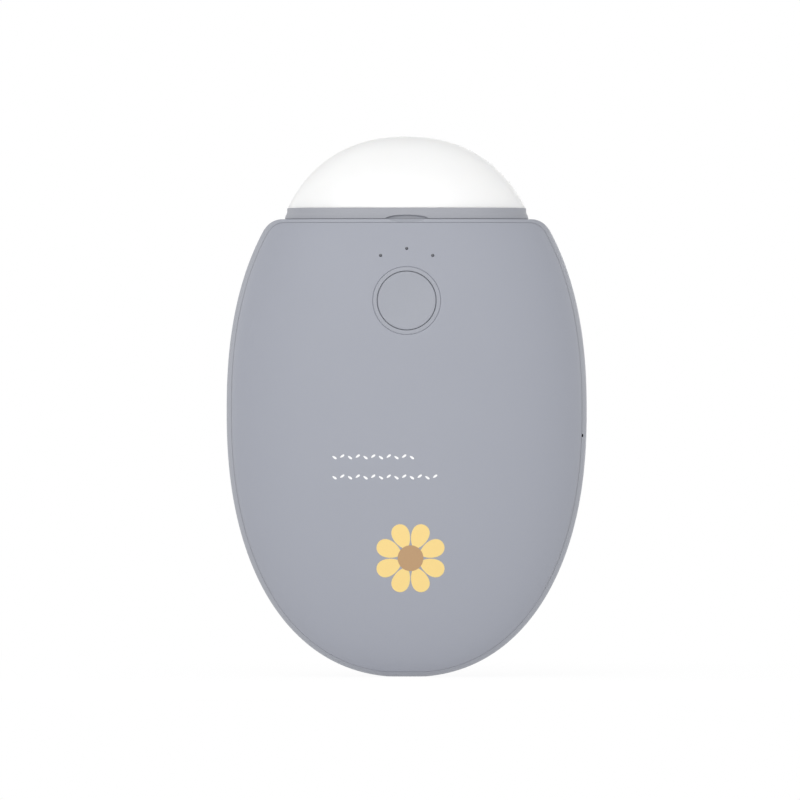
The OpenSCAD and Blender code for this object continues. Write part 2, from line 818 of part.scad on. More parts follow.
module sensor_lead() color("#f0f0f0") at_mid() {
    film_lead(0, [sensor_z[1] + lay_gap, board_bottom + heater_lead_d], board_front_y - lay_gap,
        heater_lead_d);
}

// Thickness of a cell, which fills the depth between the web and the heating film
foam_corner = [cell_w / 2 - foam_margin, cell_h - cell_rise - foam_margin];
cell_t = film_y(foam_corner) - cell_play - foam_t - web_y - 2 * lay_gap;

module battery_cells() color("#c8cbd0") at_mid() {
    for (side = [0, 1])
        mirror([0, side, 0])
            soft_block([-cell_w / 2, cell_w / 2], [-web_y - lay_gap - cell_t, -web_y - lay_gap],
                [cell_rise - cell_h, cell_rise], cell_r);
}

// Protection board on the chassis's back, above the cells
guard_z = [cell_rise + guard_lift, cell_rise + guard_lift + guard_h];
guard_y = web_y + board_t;
lead_z = guard_z[1] + lead_rise;
back_lead_z = cell_rise + back_lead_rise;

module protection_board() color("#2f6b46") at_mid() {
    wide_block(guard_w, [web_y + lay_gap, guard_y], guard_z);
}

module cell_tabs() color("#d4cfc2") at_mid() {
    for (side = [-1, 1]) {
        x = side * tab_x;
        block([x - tab_w / 2, x + tab_w / 2], [guard_y + lay_gap, guard_y + lay_gap + tab_t],
            [cell_rise + lay_gap, guard_z[1] - tab_margin]);
    }
}

// Lead from the protection board through the chassis to the main board
module power_lead(x) {
    y = guard_y + lead_d / 2 + lay_gap;
    rod(x, [board_back_y + lay_gap, y], lead_z, lead_d);
    translate([x, y, lead_z]) sphere(d = lead_d);
    pin(x, y, [guard_z[0] + lead_start, lead_z], lead_d);
}

module positive_lead() color("#b5302c") at_mid() power_lead(tab_x / 2);
module negative_lead() color("#26272a") at_mid() power_lead(-tab_x / 2);

module chassis_tray() color("#e3e3e0") at_mid() {
    web_edge = outline(chassis_inset, chassis_drop);
    rim = [cell_w / 2 + cell_clear, cell_rise - cell_h - cell_clear, cell_rise + cell_clear];
    difference() {
        union() {
            translate([0, web_y, 0]) rotate([90, 0, 0]) linear_extrude(chassis_t) polygon(web_edge);
            difference() {
                wide_block(2 * (rim[0] + cell_rim_w), [-web_y - cell_rim_h, web_y + cell_rim_h],
                    [rim[1] - cell_rim_w, rim[2] + cell_rim_w]);
                wide_block(2 * rim[0], [-web_y - cell_rim_h - over, -web_y], [rim[1], rim[2]]);
                wide_block(2 * rim[0], [web_y, web_y + cell_rim_h + over], [rim[1], rim[2]]);
            }
            for (side = [-1, 1], z = board_screw_z)
                rod(side * board_screw_x, [board_back_y, 0], z, board_post_d);
        }
        for (side = [-1, 1], z = board_screw_z)
            rod(side * board_screw_x, [-case_d, case_d], z, screw_d + 2 * lay_gap);
        for (side = [-1, 1], z = chassis_screw_z)
            rod(side * chassis_screw_x(z), [-case_d, case_d], z, screw_d + screw_hole_gap);
        for (side = [-1, 1]) {
            x = side * tab_x;
            block([x - tab_w / 2 - slip_gap, x + tab_w / 2 + slip_gap],
                [web_y, web_y + cell_rim_h + over], [cell_rise, guard_z[0]]);
            rod(x / 2, [-case_d, case_d], lead_z, lead_d + 2 * slip_gap);
            rod(side * heater_lead_x, [-case_d, case_d], back_lead_z, heater_lead_d + 2 * slip_gap);
        }
    }
}

// Heaters: plates and films that follow the covers' inside
module heater_sheet(from, to) {
    capped_skin(
        [0, from - half_depth([0, 0], cover_wall), 0],
        concat(
            [for (k = [1 : heater_rings]) skin_ring(seam_inner, ring_share(k), cover_wall, from)],
            [for (k = [heater_rings : -1 : 1]) skin_ring(seam_inner, ring_share(k), cover_wall, to)]
        ),
        [0, to - half_depth([0, 0], cover_wall), 0]
    );
}

// Sheet cut off below the button
module front_sheet(from, to) {
    difference() {
        heater_sheet(from, to);
        wide_block(case_w, [-case_d, 0], [cell_rise, oval_h]);
    }
}

plate_from = slip_gap;
film_from = slip_gap + plate_t + lay_gap;

module front_heat_plate() color("#c3c6ca") at_mid() front_sheet(plate_from, plate_from + plate_t);
module back_heat_plate() color("#c3c6ca") at_mid() to_back() heater_sheet(plate_from, plate_from + plate_t);
module front_heating_film() color("#b97a2a") at_mid() front_sheet(film_from, film_from + film_t);
module back_heating_film() color("#b97a2a") at_mid() to_back() heater_sheet(film_from, film_from + film_t);

module heater_leads() color("#b5302c") at_mid() {
    for (side = [-1, 1]) {
        film_lead(side * heater_lead_x, [cell_rise - front_lead_run, board_bottom + 2 * heater_lead_d],
            board_front_y - lay_gap, heater_lead_d);
        to_back()
            film_lead(side * heater_lead_x, [back_lead_z - back_lead_run, back_lead_z],
                -board_back_y - lay_gap, heater_lead_d);
    }
}

module foam_pad() {
    soft_block([foam_margin - cell_w / 2, cell_w / 2 - foam_margin],
        [-web_y - lay_gap - cell_t - foam_t, -web_y - 2 * lay_gap - cell_t],
        [cell_rise - cell_h + foam_margin, cell_rise - foam_margin], cell_r);
}

module front_foam_pad() color("#e8e4d8") at_mid() foam_pad();
module back_foam_pad() color("#e8e4d8") at_mid() to_back() foam_pad();

// Pan-head screw along the depth, its head towards the front
module pan_screw(x, y, z, length) {
    difference() {
        union() {
            rod(x, [y - screw_head_t, y], z, screw_head_d);
            rod(x, [y, y + length], z, screw_d);
        }
        rod(x, [y - screw_head_t - over, y - screw_head_t + screw_socket_t], z, screw_socket_d);
    }
}

module chassis_screws() color("#6d6f74") at_mid() {
    for (side = [-1, 1], z = chassis_screw_z)
        pan_screw(side * chassis_screw_x(z), -web_y - lay_gap, z, chassis_t + chassis_screw_grip);
}

module board_screws() color("#6d6f74") at_mid() {
    for (side = [-1, 1], z = board_screw_z)
        pan_screw(side * board_screw_x, board_front_y - lay_gap, z, board_t + board_post_h);
}

module top_board_screws() color("#6d6f74") at_deck() {
    for (side = [-1, 1]) {
        z = top_board_z - top_board_t - lay_gap;
        difference() {
            union() {
                pin(side * base_post_x, 0, [z - screw_head_t, z], small_head_d);
                pin(side * base_post_x, 0, [z, z + top_board_t + base_post_h - slip_gap], small_screw_d);
            }
            pin(side * base_post_x, 0, [z - screw_head_t - over, z - screw_head_t + screw_socket_t],
                screw_socket_d);
        }
    }
}

front_cover();
back_cover();
mid_frame();
button_bezel();
button_cap();
light_pipes();
cap_ring();
lamp_dome();
cap_magnets();
deck_magnets();
lamp_base();
lamp_lenses();
top_board();
lamp_leds();
socket_shell();
socket_tongue();
board_ribbon();
main_board();
board_chips();
power_inductor();
indicator_leds();
switch_base();
switch_plunger();
temperature_sensor();
sensor_lead();
battery_cells();
cell_tabs();
protection_board();
positive_lead();
negative_lead();
chassis_tray();
front_heat_plate();
back_heat_plate();
front_heating_film();
back_heating_film();
heater_leads();
front_foam_pad();
back_foam_pad();
chassis_screws();
board_screws();
top_board_screws();
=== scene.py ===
"""Rechargeable hand warmer: smooth shells, lamp cap, button, print and finishes round its packed parts."""

from math import asin, atan2, cos, pi, radians, sin, sqrt

import bmesh
import bpy
from bpy.props import FloatProperty, FloatVectorProperty, PointerProperty
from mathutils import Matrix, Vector


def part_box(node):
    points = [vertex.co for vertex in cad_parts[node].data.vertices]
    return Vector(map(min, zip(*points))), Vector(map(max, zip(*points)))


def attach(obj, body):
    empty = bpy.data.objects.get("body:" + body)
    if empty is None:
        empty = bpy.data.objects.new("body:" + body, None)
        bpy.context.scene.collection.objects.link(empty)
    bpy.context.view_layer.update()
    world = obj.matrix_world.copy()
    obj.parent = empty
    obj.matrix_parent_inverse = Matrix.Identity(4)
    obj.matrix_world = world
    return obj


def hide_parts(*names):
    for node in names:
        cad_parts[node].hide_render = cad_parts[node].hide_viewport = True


bl_info = {
    "name": "Hand Warmer",
    "version": (1, 0, 0),
    "blender": (4, 5, 0),
    "location": "3D View > Sidebar > Hand Warmer",
    "description": "Models a pebble hand warmer with a lift-off lamp cap round its packed parts",
    "category": "Object",
}

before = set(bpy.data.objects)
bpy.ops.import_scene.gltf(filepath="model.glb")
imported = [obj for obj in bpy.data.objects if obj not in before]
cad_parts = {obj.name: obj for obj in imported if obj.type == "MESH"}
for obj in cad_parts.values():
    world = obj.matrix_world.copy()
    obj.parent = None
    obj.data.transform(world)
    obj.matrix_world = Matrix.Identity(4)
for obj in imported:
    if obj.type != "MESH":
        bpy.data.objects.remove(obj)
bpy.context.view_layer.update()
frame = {"nodes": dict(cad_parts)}
MM = 0.001
WHITE = (1, 1, 1, 1)


def srgb(code):
    """Linear colour with alpha from an sRGB hex code."""
    parts = [int(code[i : i + 2], 16) / 255 for i in (1, 3, 5)]
    return [c / 12.92 if c <= 0.04045 else ((c + 0.055) / 1.055) ** 2.4 for c in parts] + [1]


def plain(name, description, value, **more):
    """A number that the panel shows."""
    return FloatProperty(name=name, description=description, default=value, **more)


def length(name, description, millimetres):
    """A size that the panel shows, given in millimetres and kept in metres."""
    return plain(name, description, millimetres * MM, unit="LENGTH", precision=5)


def paint(name, description, code):
    """A colour that the panel shows."""
    return FloatVectorProperty(
        name=name, description=description, default=srgb(code), subtype="COLOR", size=4)


class CaseSizes(bpy.types.PropertyGroup):
    """Sizes of the pebble case. Its width keeps the rounded mesh inside the packed parts' box."""

    width: length("Width", "Width of the case at its widest", 69.996)
    oval_height: length("Oval height", "Height of the oval that the case is cut from", 103.8)
    depth: length("Depth", "Depth of the case, front to back", 28)
    outline_power: plain("Outline power", "Squareness of the oval from the front", 2.27)
    section_power: plain("Section power", "Squareness of the case's section", 2.6)
    edge_band: length("Edge band", "Width of the flat band round the edge", 3)
    foot_trim: length("Foot trim", "Height trimmed off the oval for the foot", 0.15)
    deck_cut: length("Deck cut", "Height cut off the oval for the deck", 14.85)
    deck_corner: length("Deck corner", "Radius of the deck's end corners", 4)
    deck_thickness: length("Deck thickness", "Thickness of the deck", 2.6)
    wall: length("Cover wall", "Wall of the two covers", 1.8)
    seam_inset: length("Seam inset", "Distance of the seam inside the outline", 0.95)
    seam_drop: length("Seam drop", "Distance of the seam under the deck", 0.68)
    seam_line: length("Seam line", "Width of the seam's dark line", 0.03)
    seam_round: length("Seam round", "Radius of the edges beside the seam", 0.22)
    deck_round: length("Deck round", "Radius of the deck's front and back edges", 0.28)
    rim_depth: length("Rim depth", "Depth of a cover's rim behind its seam", 2.4)
    frame_wall: length("Frame wall", "Width of the frame to its inner wall", 3.5)
    vent_drop: length("Vent drop", "Height of the vent slot under the oval's middle", 4.93)
    vent_width: length("Vent width", "Width of the vent slot", 0.32)
    vent_height: length("Vent height", "Height of the vent slot", 0.62)


class ControlSizes(bpy.types.PropertyGroup):
    """Sizes of the button, its ring and the indicator dots."""

    button_drop: length("Button drop", "Height of the button's middle under the deck", 15.81)
    button_width: length("Button width", "Diameter of the button cap", 11.36)
    button_gap: length("Button gap", "Gap round the button cap", 0.075)
    button_round: length("Button round", "Radius of the button's rim", 0.24)
    dish: length("Dish", "Depth of the hollow in the button's face", 0.2)
    flange: length("Flange", "Thickness of the button's flange", 0.8)
    stem_height: length("Stem height", "Height of the button's stem", 0.3)
    stem_width: length("Stem width", "Diameter of the button's stem", 4)
    ring_width: length("Ring width", "Width of the ring round the button", 0.825)
    ring_depth: length("Ring depth", "Depth of the ring's seat", 1.2)
    ring_round: length("Ring round", "Radius of the edges beside the ring", 0.14)
    dot_width: length("Dot width", "Diameter of an indicator dot", 0.6)
    dot_reach: length("Dot reach", "Distance of the dots from the button's middle", 10.1)
    dot_angle: plain("Dot angle", "Angle between dots", radians(30), subtype="ANGLE")


class CapSizes(bpy.types.PropertyGroup):
    """Sizes of the lamp cap and of the base that it covers."""

    ring_top: length("Ring top", "Height of the ring's top above the deck", 2.2)
    ring_gap: length("Ring gap", "Shadow gap under the ring", 0.09)
    end_step: length("End step", "Step between the ring and the deck's ends", 0.5)
    front_step: length("Front step", "Step between the ring and the deck's front edge", 1.6)
    plan_power: plain("Plan power", "Squareness of the cap from above", 2.6)
    dome_height: length("Dome height", "Height of the dome above its ring", 13.94)
    dome_wall: length("Dome wall", "Wall of the dome", 1.8)
    dome_sink_share: plain("Dome sink", "Depth of the dome profile's middle as a share of its height", 0.907)
    dome_power: plain("Dome power", "Squareness of the dome's profile", 2.18)
    dome_round: length("Dome round", "Radius of the dome's foot edges", 0.12)
    edge_round: length("Edge round", "Radius of the ring's edges", 0.1)
    scoop_reach: length("Scoop reach", "Half the width of the fingernail scoop at the ring's foot", 4.15)
    scoop_rise: length("Scoop rise", "Height of the scoop's arch", 0.76)
    scoop_depth: length("Scoop depth", "Depth of the scoop in the ring", 0.75)
    cove: length("Scoop cove", "Radius of the fillet at the scoop's inner end", 0.4)
    nail_radius: length("Nail radius", "Radius of the hollow in the deck's edge", 16.3)
    nail_depth: length("Nail depth", "Depth of the hollow in the deck's edge", 0.46)
    land_height: length("Land height", "Height of the raised land on the deck under the ring", 0.06)
    land_inset: length("Land inset", "Distance of the land inside the ring's foot", 0.3)
    slot_in: length("Slot in", "Distance of the deck's slot inside the ring's ends", 4.15)
    slot_share: plain("Slot share", "Depth of the slot as a share of the ring's", 0.487)
    fit: length("Fit", "Play of parts that slip into each other", 0.1)
    ear_width: length("Ear width", "Diameter of the cap's magnet ears", 5.4)
    post_in: length("Post in", "Distance of the posts from the magnets' middles", 0.7)
    post_width: length("Post width", "Diameter of the posts under the lamp base", 3.6)
    base_height: length("Base height", "Height of the lamp base's flange", 1.1)
    base_inset: length("Base inset", "Distance of the lamp base inside the ring's foot", 3.35)


class PrintSizes(bpy.types.PropertyGroup):
    """Places and sizes of the print, seen from the front."""

    flower_x: length("Flower across", "Place across of the flower", 0.74)
    flower_z: length("Flower height", "Height of the flower above the oval's middle", -28.7)
    petal_start: length("Petal start", "Distance of a petal's foot from the flower's middle", 2.1)
    petal_reach: length("Petal length", "Length of a petal", 4.9)
    petal_width: length("Petal width", "Width of a petal", 3.36)
    core_radius: length("Core radius", "Radius of the flower's core", 2.5)
    dash_x: length("Dash across", "Place across of the first dash", -14.4)
    dash_z: length("Dash height", "Height of the first row above the oval's middle", -8.9)
    dash_step: length("Dash step", "Step from dash to dash", 1.5)
    row_step: length("Row step", "Step from row to row", 3.9)
    dash_drop: length("Dash drop", "Drop of every other dash", 0.3)
    dash_reach: length("Dash length", "Length of a dash", 1)
    dash_width: length("Dash width", "Width of a dash", 0.42)
    film: length("Film", "Thickness of the ink", 0.015)
    lift: length("Lift", "Height of the ink above the lacquer", 0.008)
    core_lift: length("Core lift", "Height of the core above the lacquer", 0.025)


class ShellColours(bpy.types.PropertyGroup):
    """Colours of the painted and printed surfaces."""

    covers: paint("Covers", "Soft-touch paint of the covers", "#9FA2AC")
    frame: paint("Frame", "Soft-touch paint of the frame", "#A0A3AC")
    # The cap ring's paint is a shade lighter than the covers': partly the ring's own moulding tone, partly a
    # painted highlight for the key light on the collar's face
    ring: paint("Cap ring", "Soft-touch paint of the cap ring", "#A5A7AE")
    button: paint("Button", "Soft-touch paint of the button", "#9FA2AB")
    dome: paint("Dome", "Opal polycarbonate", "#FAFAF9")
    petal: paint("Petals", "Yellow print", "#F5D68A")
    core: paint("Core", "Brown print", "#B8946C")
    dash: paint("Dashes", "White print", "#FBFBFB")


class StageSizes(bpy.types.PropertyGroup):
    """Sizes of the stage and strengths of its light."""

    field: length("Field", "Width of the view at the case's middle", 155.55)
    aim_x: length("Aim across", "Place across that the camera looks at", -1.3)
    aim_z: length("Aim height", "Height that the camera looks at", 53.71)
    lens: plain("Lens", "Focal length in millimetres", 900)
    key_power: plain("Key", "Power of the key lamp", 4.45, subtype="POWER")
    sky: plain("Sky", "Strength of the room's even light", 0.46)
    floor_glow: plain("Floor glow", "Share of plain white that the floor gives back to the case", 0.4)
    floor_share: plain("Floor white", "Share of plain white that the camera sees round the foot", 0.85)
    floor_lift: plain("Floor lift", "Strength of that white, which makes up for the lit floor's grey", 1.06)
    fade_start: length("Fade start", "Distance from the foot where the floor starts to turn plain white", 60)
    fade_end: length("Fade end", "Distance from the foot where the floor is plain white", 300)


# Settings are kept on the scene under these names
SETTINGS = {
    "warmer_case": CaseSizes,
    "warmer_controls": ControlSizes,
    "warmer_cap": CapSizes,
    "warmer_print": PrintSizes,
    "warmer_colours": ShellColours,
    "warmer_stage": StageSizes,
}
# Points along half an outline, round the cap's plan, and rings across a cover and up the dome
HALF_STEPS = {"foot": 4, "side": 76, "corner": 10, "top": 14}
PLAN_STEPS = 176
COVER_STEPS = 52
DOME_STEPS = 44
# Gap that shows as a fine line, play round a piece in its seat, and distance at which doubles merge
SHADOW_LINE = 0.012 * MM
SEAT_PLAY = 0.05 * MM
MERGE = 0.0002 * MM
# Distance within which a point counts as lying on a level, and distance that a cut runs past a piece
HAIR = 0.02 * MM
OVERRUN = 2 * MM
# Depths of the pockets for a magnet and a lens
MAGNET_POCKET = 1.05 * MM
LENS_POCKET = 0.85 * MM
SMOOTH_ANGLE = radians(35)
ALONG_Y = (pi / 2, 0, 0)
# Petals of the flower, and dashes in each row
PETALS = 8
DASHES = (11, 14)


def signed_power(value, power):
    """A number's power with the number's own sign."""
    return (abs(value) ** power) * (1 if value >= 0 else -1)


class Pebble:
    """The case's form. Heights are above the oval's middle unless they are said to be real ones."""

    def __init__(self):
        scene = bpy.context.scene
        self.case = scene.warmer_case
        self.controls = scene.warmer_controls
        self.cap = scene.warmer_cap
        self.half_w = self.case.width / 2
        self.half_h = self.case.oval_height / 2
        self.middle = self.half_h - self.case.foot_trim
        self.deck = self.half_h - self.case.deck_cut
        self.button = self.deck - self.controls.button_drop
        self.ring_w = self.flat_half_width(0) - self.cap.end_step
        self.ring_d = self.half_depth(0, self.deck) - self.cap.front_step
        self.slot_d = self.ring_d * self.cap.slot_share

    def half_depth(self, x, z, wall=0):
        """Half depth of the case at a place seen from the front, less a wall."""
        case = self.case
        share = (
            (abs(x) / (self.half_w - wall)) ** case.outline_power
            + (abs(z) / (self.half_h - wall)) ** case.outline_power
        ) ** (1 / case.outline_power)
        band = case.edge_band / 2
        rise = max(0, 1 - min(1, share) ** case.section_power) ** (1 / case.section_power)
        return band + (case.depth / 2 - wall - band) * rise

    def half_width(self, z, inset):
        """Half width of the oval less an inset at a height."""
        power = self.case.outline_power
        return (self.half_w - inset) * (1 - (abs(z) / (self.half_h - inset)) ** power) ** (1 / power)

    def corner(self, drop):
        """Radius of an outline's top corners, smaller the further it lies under the deck."""
        return self.case.deck_corner**2 / (self.case.deck_corner + drop)

    def flat_half_width(self, inset, drop=0):
        """Half width of the flat top of an outline."""
        corner = self.corner(drop)
        return self.half_width(self.deck - drop - corner, inset + corner)

    def outline(self, inset, drop):
        """Outline drawn in by an inset and cut under the deck, anticlockwise from the foot's middle."""
        power, corner = self.case.outline_power, self.corner(drop)
        half_w, half_h = self.half_w - inset, self.half_h - inset
        foot = self.case.foot_trim - half_h
        foot_angle = asin((-foot / half_h) ** (power / 2))
        foot_x = half_w * cos(foot_angle) ** (2 / power)
        corner_x = self.flat_half_width(inset, drop)
        corner_z = self.deck - drop - corner
        slope_x = (corner_x / (half_w - corner)) ** (power - 1) / (half_w - corner)
        slope_z = (corner_z / (half_h - corner)) ** (power - 1) / (half_h - corner)
        start = atan2(slope_z, slope_x)
        side_angle = asin(((corner_z + corner * sin(start)) / half_h) ** (power / 2))
        steps = HALF_STEPS
        half = [(foot_x * i / steps["foot"], foot) for i in range(steps["foot"])]
        for i in range(steps["side"] + 1):
            t = -foot_angle + (side_angle + foot_angle) * i / steps["side"]
            half.append((half_w * signed_power(cos(t), 2 / power), half_h * signed_power(sin(t), 2 / power)))
        for i in range(1, steps["corner"] + 1):
            t = start + (pi / 2 - start) * i / steps["corner"]
            half.append((corner_x + corner * cos(t), corner_z + corner * sin(t)))
        half += [(corner_x * (1 - i / steps["top"]), self.deck - drop) for i in range(1, steps["top"] + 1)]
        return half + [(-x, z) for x, z in half[-2:0:-1]]

    def place(self, x, y, z):
        """Real place of a point whose height is above the oval's middle."""
        return Vector((x, y, z + self.middle))

    def cap_plan(self, inset, z, share=1):
        """Level loop of the cap, drawn in from the ring's foot, at a height above the deck."""
        loop = []
        for i in range(PLAN_STEPS):
            t = 2 * pi * i / PLAN_STEPS
            x = (self.ring_w - inset) * signed_power(cos(t), 2 / self.cap.plan_power) * share
            y = (self.ring_d - inset) * signed_power(sin(t), 2 / self.cap.plan_power) * share
            loop.append(self.place(x, y, z + self.deck))
        return loop


def deselect():
    """Leaves nothing selected, in object mode."""
    if bpy.context.mode != "OBJECT":
        bpy.ops.object.mode_set(mode="OBJECT")
    bpy.ops.object.select_all(action="DESELECT")


def only(piece):
    """Makes one piece the selected and active one."""
    deselect()
    piece.select_set(True)
    bpy.context.view_layer.objects.active = piece


def keep(name):
    """Names the new active piece and puts its place into its mesh."""
    piece = bpy.context.object
    piece.name = piece.data.name = name
    bpy.ops.object.transform_apply(location=True, rotation=True, scale=True)
    return piece


def edit(piece):
    """Opens one piece in edit mode with nothing selected, and gives its edit mesh."""
    only(piece)
    bpy.ops.object.mode_set(mode="EDIT")
    bpy.ops.mesh.select_mode(type="VERT")
    bpy.ops.mesh.select_all(action="DESELECT")
    return bmesh.from_edit_mesh(piece.data)


def pick_loop(mesh, loop):
    """Selects the edges that join a loop's vertices in order."""
    bpy.ops.mesh.select_all(action="DESELECT")
    bm = bmesh.from_edit_mesh(mesh)
    bm.verts.ensure_lookup_table()
    for a, b in zip(loop, loop[1:] + loop[:1]):
        edge = bm.edges.get((bm.verts[a], bm.verts[b]))
        if edge is None:
            raise RuntimeError(f"{mesh.name}: the loop is broken between {a} and {b}")
        edge.select_set(True)
    bmesh.update_edit_mesh(mesh)


def extrude_loop(mesh, loop, points):
    """Extrudes a loop of edges and sets the new loop on points. Gives the new loop's vertices."""
    pick_loop(mesh, loop)
    bpy.ops.mesh.extrude_edges_indiv()
    bm = bmesh.from_edit_mesh(mesh)
    bm.verts.ensure_lookup_table()
    new = []
    for index, point in zip(loop, points):
        old = bm.verts[index]
        vertex = next(edge.other_vert(old) for edge in old.link_edges if edge.other_vert(old).select)
        vertex.co = point
        new.append(vertex)
    bm.verts.index_update()
    bmesh.update_edit_mesh(mesh)
    return [vertex.index for vertex in new]


def start_loop(name, points):
    """Adds a circle and sets its vertices on points. Gives the piece, open in edit mode, and its loop."""
    deselect()
    bpy.ops.mesh.primitive_circle_add(vertices=len(points), radius=10 * MM)
    piece = keep(name)
    bm = edit(piece)
    bm.verts.ensure_lookup_table()
    for vertex, point in zip(bm.verts, points):
        vertex.co = point
    bmesh.update_edit_mesh(piece.data)
    return piece, list(range(len(points)))


def close_up(piece):
    """Merges doubles, turns all faces outward and leaves edit mode."""
    bpy.ops.object.mode_set(mode="EDIT")
    bpy.ops.mesh.select_all(action="SELECT")
    bpy.ops.mesh.remove_doubles(threshold=MERGE)
    bpy.ops.mesh.normals_make_consistent(inside=False)
    bpy.ops.object.mode_set(mode="OBJECT")


def loft(name, rings, closed=False):
    """A closed solid through loops of points. A closed one joins its last loop to its first, and an
    open one ends in loops that have shrunk to a point."""
    piece, loop = start_loop(name, rings[0])
    for ring in rings[1:] + (rings[:1] if closed else []):
        loop = extrude_loop(piece.data, loop, ring)
    close_up(piece)
    return piece


def round_edges(piece, width, test, segments=3, least=40):
    """Bevels the edges that turn by more than a least angle in degrees and whose middle passes a test."""
    bm = edit(piece)
    bpy.ops.mesh.select_mode(type="EDGE")
    found = [edge for edge in bm.edges
             if len(edge.link_faces) == 2 and edge.calc_face_angle(0) > radians(least)
             and test((edge.verts[0].co + edge.verts[1].co) / 2)]
    for edge in found:
        edge.select_set(True)
    bmesh.update_edit_mesh(piece.data)
    if found:
        bpy.ops.mesh.bevel(offset=width, segments=segments, profile=0.5, affect="EDGES", clamp_overlap=True)
    bpy.ops.object.mode_set(mode="OBJECT")


def apply_modifier(piece, kind, **settings):
    """Adds a modifier to a piece, sets it and applies it."""
    only(piece)
    modifier = piece.modifiers.new(kind.title(), kind)
    for key, value in settings.items():
        setattr(modifier, key, value)
    bpy.ops.object.modifier_apply(modifier=modifier.name)


def cut(piece, cutter, operation="DIFFERENCE"):
    """Cuts a piece with a solid, or joins the solid to it, and removes the solid."""
    apply_modifier(piece, "BOOLEAN", object=cutter, operation=operation, solver="EXACT")
    bpy.data.objects.remove(cutter)


def smooth(piece):
    """Merges what the cuts left double, and shades smooth with sharp edges sharp and flat faces flat."""
    edit(piece)
    bpy.ops.mesh.select_all(action="SELECT")
    bpy.ops.mesh.remove_doubles(threshold=MERGE / 2)
    bpy.ops.object.mode_set(mode="OBJECT")
    bpy.ops.object.shade_smooth_by_angle(angle=SMOOTH_ANGLE)
    apply_modifier(piece, "WEIGHTED_NORMAL", keep_sharp=True, weight=50)


def cylinder(name, centre, radius, depth, turn=(0, 0, 0), steps=64):
    """A round solid at a place, along Z unless it is turned."""
    deselect()
    bpy.ops.mesh.primitive_cylinder_add(
        vertices=steps, radius=radius, depth=depth, location=centre, rotation=turn)
    return keep(name)


def pocket(piece, x, z, radius, depth):
    """Cuts a round pocket of a depth into the level face at z, from above or below."""
    cut(piece, cylinder("pocket", (x, 0, z), radius, 2 * depth))


def block(name, low, high):
    """A block between two corners."""
    deselect()
    centre = [(a + b) / 2 for a, b in zip(low, high)]
    bpy.ops.mesh.primitive_cube_add(size=1, location=centre, scale=[b - a for a, b in zip(low, high)])
    return keep(name)


def capsule(name, half_w, half_d, low, high):
    """An upright slot-shaped solid with round ends along the width."""
    piece = block(name, (half_d - half_w, -half_d, low), (half_w - half_d, half_d, high))
    for side in (-1, 1):
        end = cylinder(name, (side * (half_w - half_d), 0, (low + high) / 2), half_d, high - low)
        cut(piece, end, "UNION")
    return piece


def lathe(name, profile, x, z, steps=96):
    """Spins a profile of radii and depths round an axis along Y."""
    deselect()
    mesh = bpy.data.meshes.new(name)
    points = [(x + r, y, z) for r, y in profile]
    mesh.from_pydata(points, [(i, i + 1) for i in range(len(points) - 1)], [])
    piece = bpy.data.objects.new(name, mesh)
    bpy.context.collection.objects.link(piece)
    edit(piece)
    bpy.ops.mesh.select_all(action="SELECT")
    bpy.ops.mesh.spin(steps=steps, angle=2 * pi, center=(x, 0, z), axis=(0, 1, 0))
    close_up(piece)
    return piece


# Materials


def add(tree, kind, inputs=None, **settings):
    """Adds a node with its settings, and links or sets its inputs."""
    node = tree.nodes.new(kind)
    for key, value in settings.items():
        setattr(node, key, value)
    for key, value in (inputs or {}).items():
        if isinstance(value, bpy.types.NodeSocket):
            tree.links.new(value, node.inputs[key])
        else:
            node.inputs[key].default_value = value
    return node


def blank(name):
    """A new material with its tree and the place that the pattern reads."""
    material = bpy.data.materials.new(name)
    material.use_nodes = True
    tree = material.node_tree
    tree.nodes.clear()
    return material, tree, add(tree, "ShaderNodeTexCoord").outputs["Object"]


def shade(colour, factor):
    """A colour made lighter or darker."""
    return [min(1, c * factor) for c in colour[:3]] + [1]


def soft_touch(name, colour):
    """Soft-touch lacquer on moulded ABS: velvety, no gloss line, a grain of 0.05 mm that only shows as an
    even bloom, here drawn at 0.3 mm so that it shows at all, and slow patches in the sheen."""
    material, tree, place = blank(name)
    grain = add(tree, "ShaderNodeTexNoise", {"Vector": place, "Scale": 1 / (0.3 * MM), "Detail": 3})
    patches = add(tree, "ShaderNodeTexNoise", {"Vector": place, "Scale": 1 / (18 * MM), "Detail": 2})
    bump = add(tree, "ShaderNodeBump", {"Height": grain.outputs[0], "Strength": 0.12, "Distance": 0.01 * MM})
    fine = add(tree, "ShaderNodeMix", {0: grain.outputs[0], 6: shade(colour, 0.985), 7: shade(colour, 1.015)},
               data_type="RGBA")
    worn = add(tree, "ShaderNodeMapRange", {"Value": patches.outputs[0], "To Min": 0, "To Max": 0.35})
    tone = add(tree, "ShaderNodeMix", {0: worn.outputs[0], 6: fine.outputs[2], 7: shade(colour, 0.97)},
               data_type="RGBA")
    rough = add(tree, "ShaderNodeMapRange", {"Value": patches.outputs[0], "To Min": 0.5, "To Max": 0.6})
    shader = add(tree, "ShaderNodeBsdfPrincipled", {
        "Base Color": tone.outputs[2],
        "Roughness": rough.outputs[0],
        "Normal": bump.outputs[0],
        "IOR": 1.46,
        "Sheen Weight": 0.06,
        "Sheen Roughness": 0.45,
    })
    add(tree, "ShaderNodeOutputMaterial", {"Surface": shader.outputs[0]})
    return material


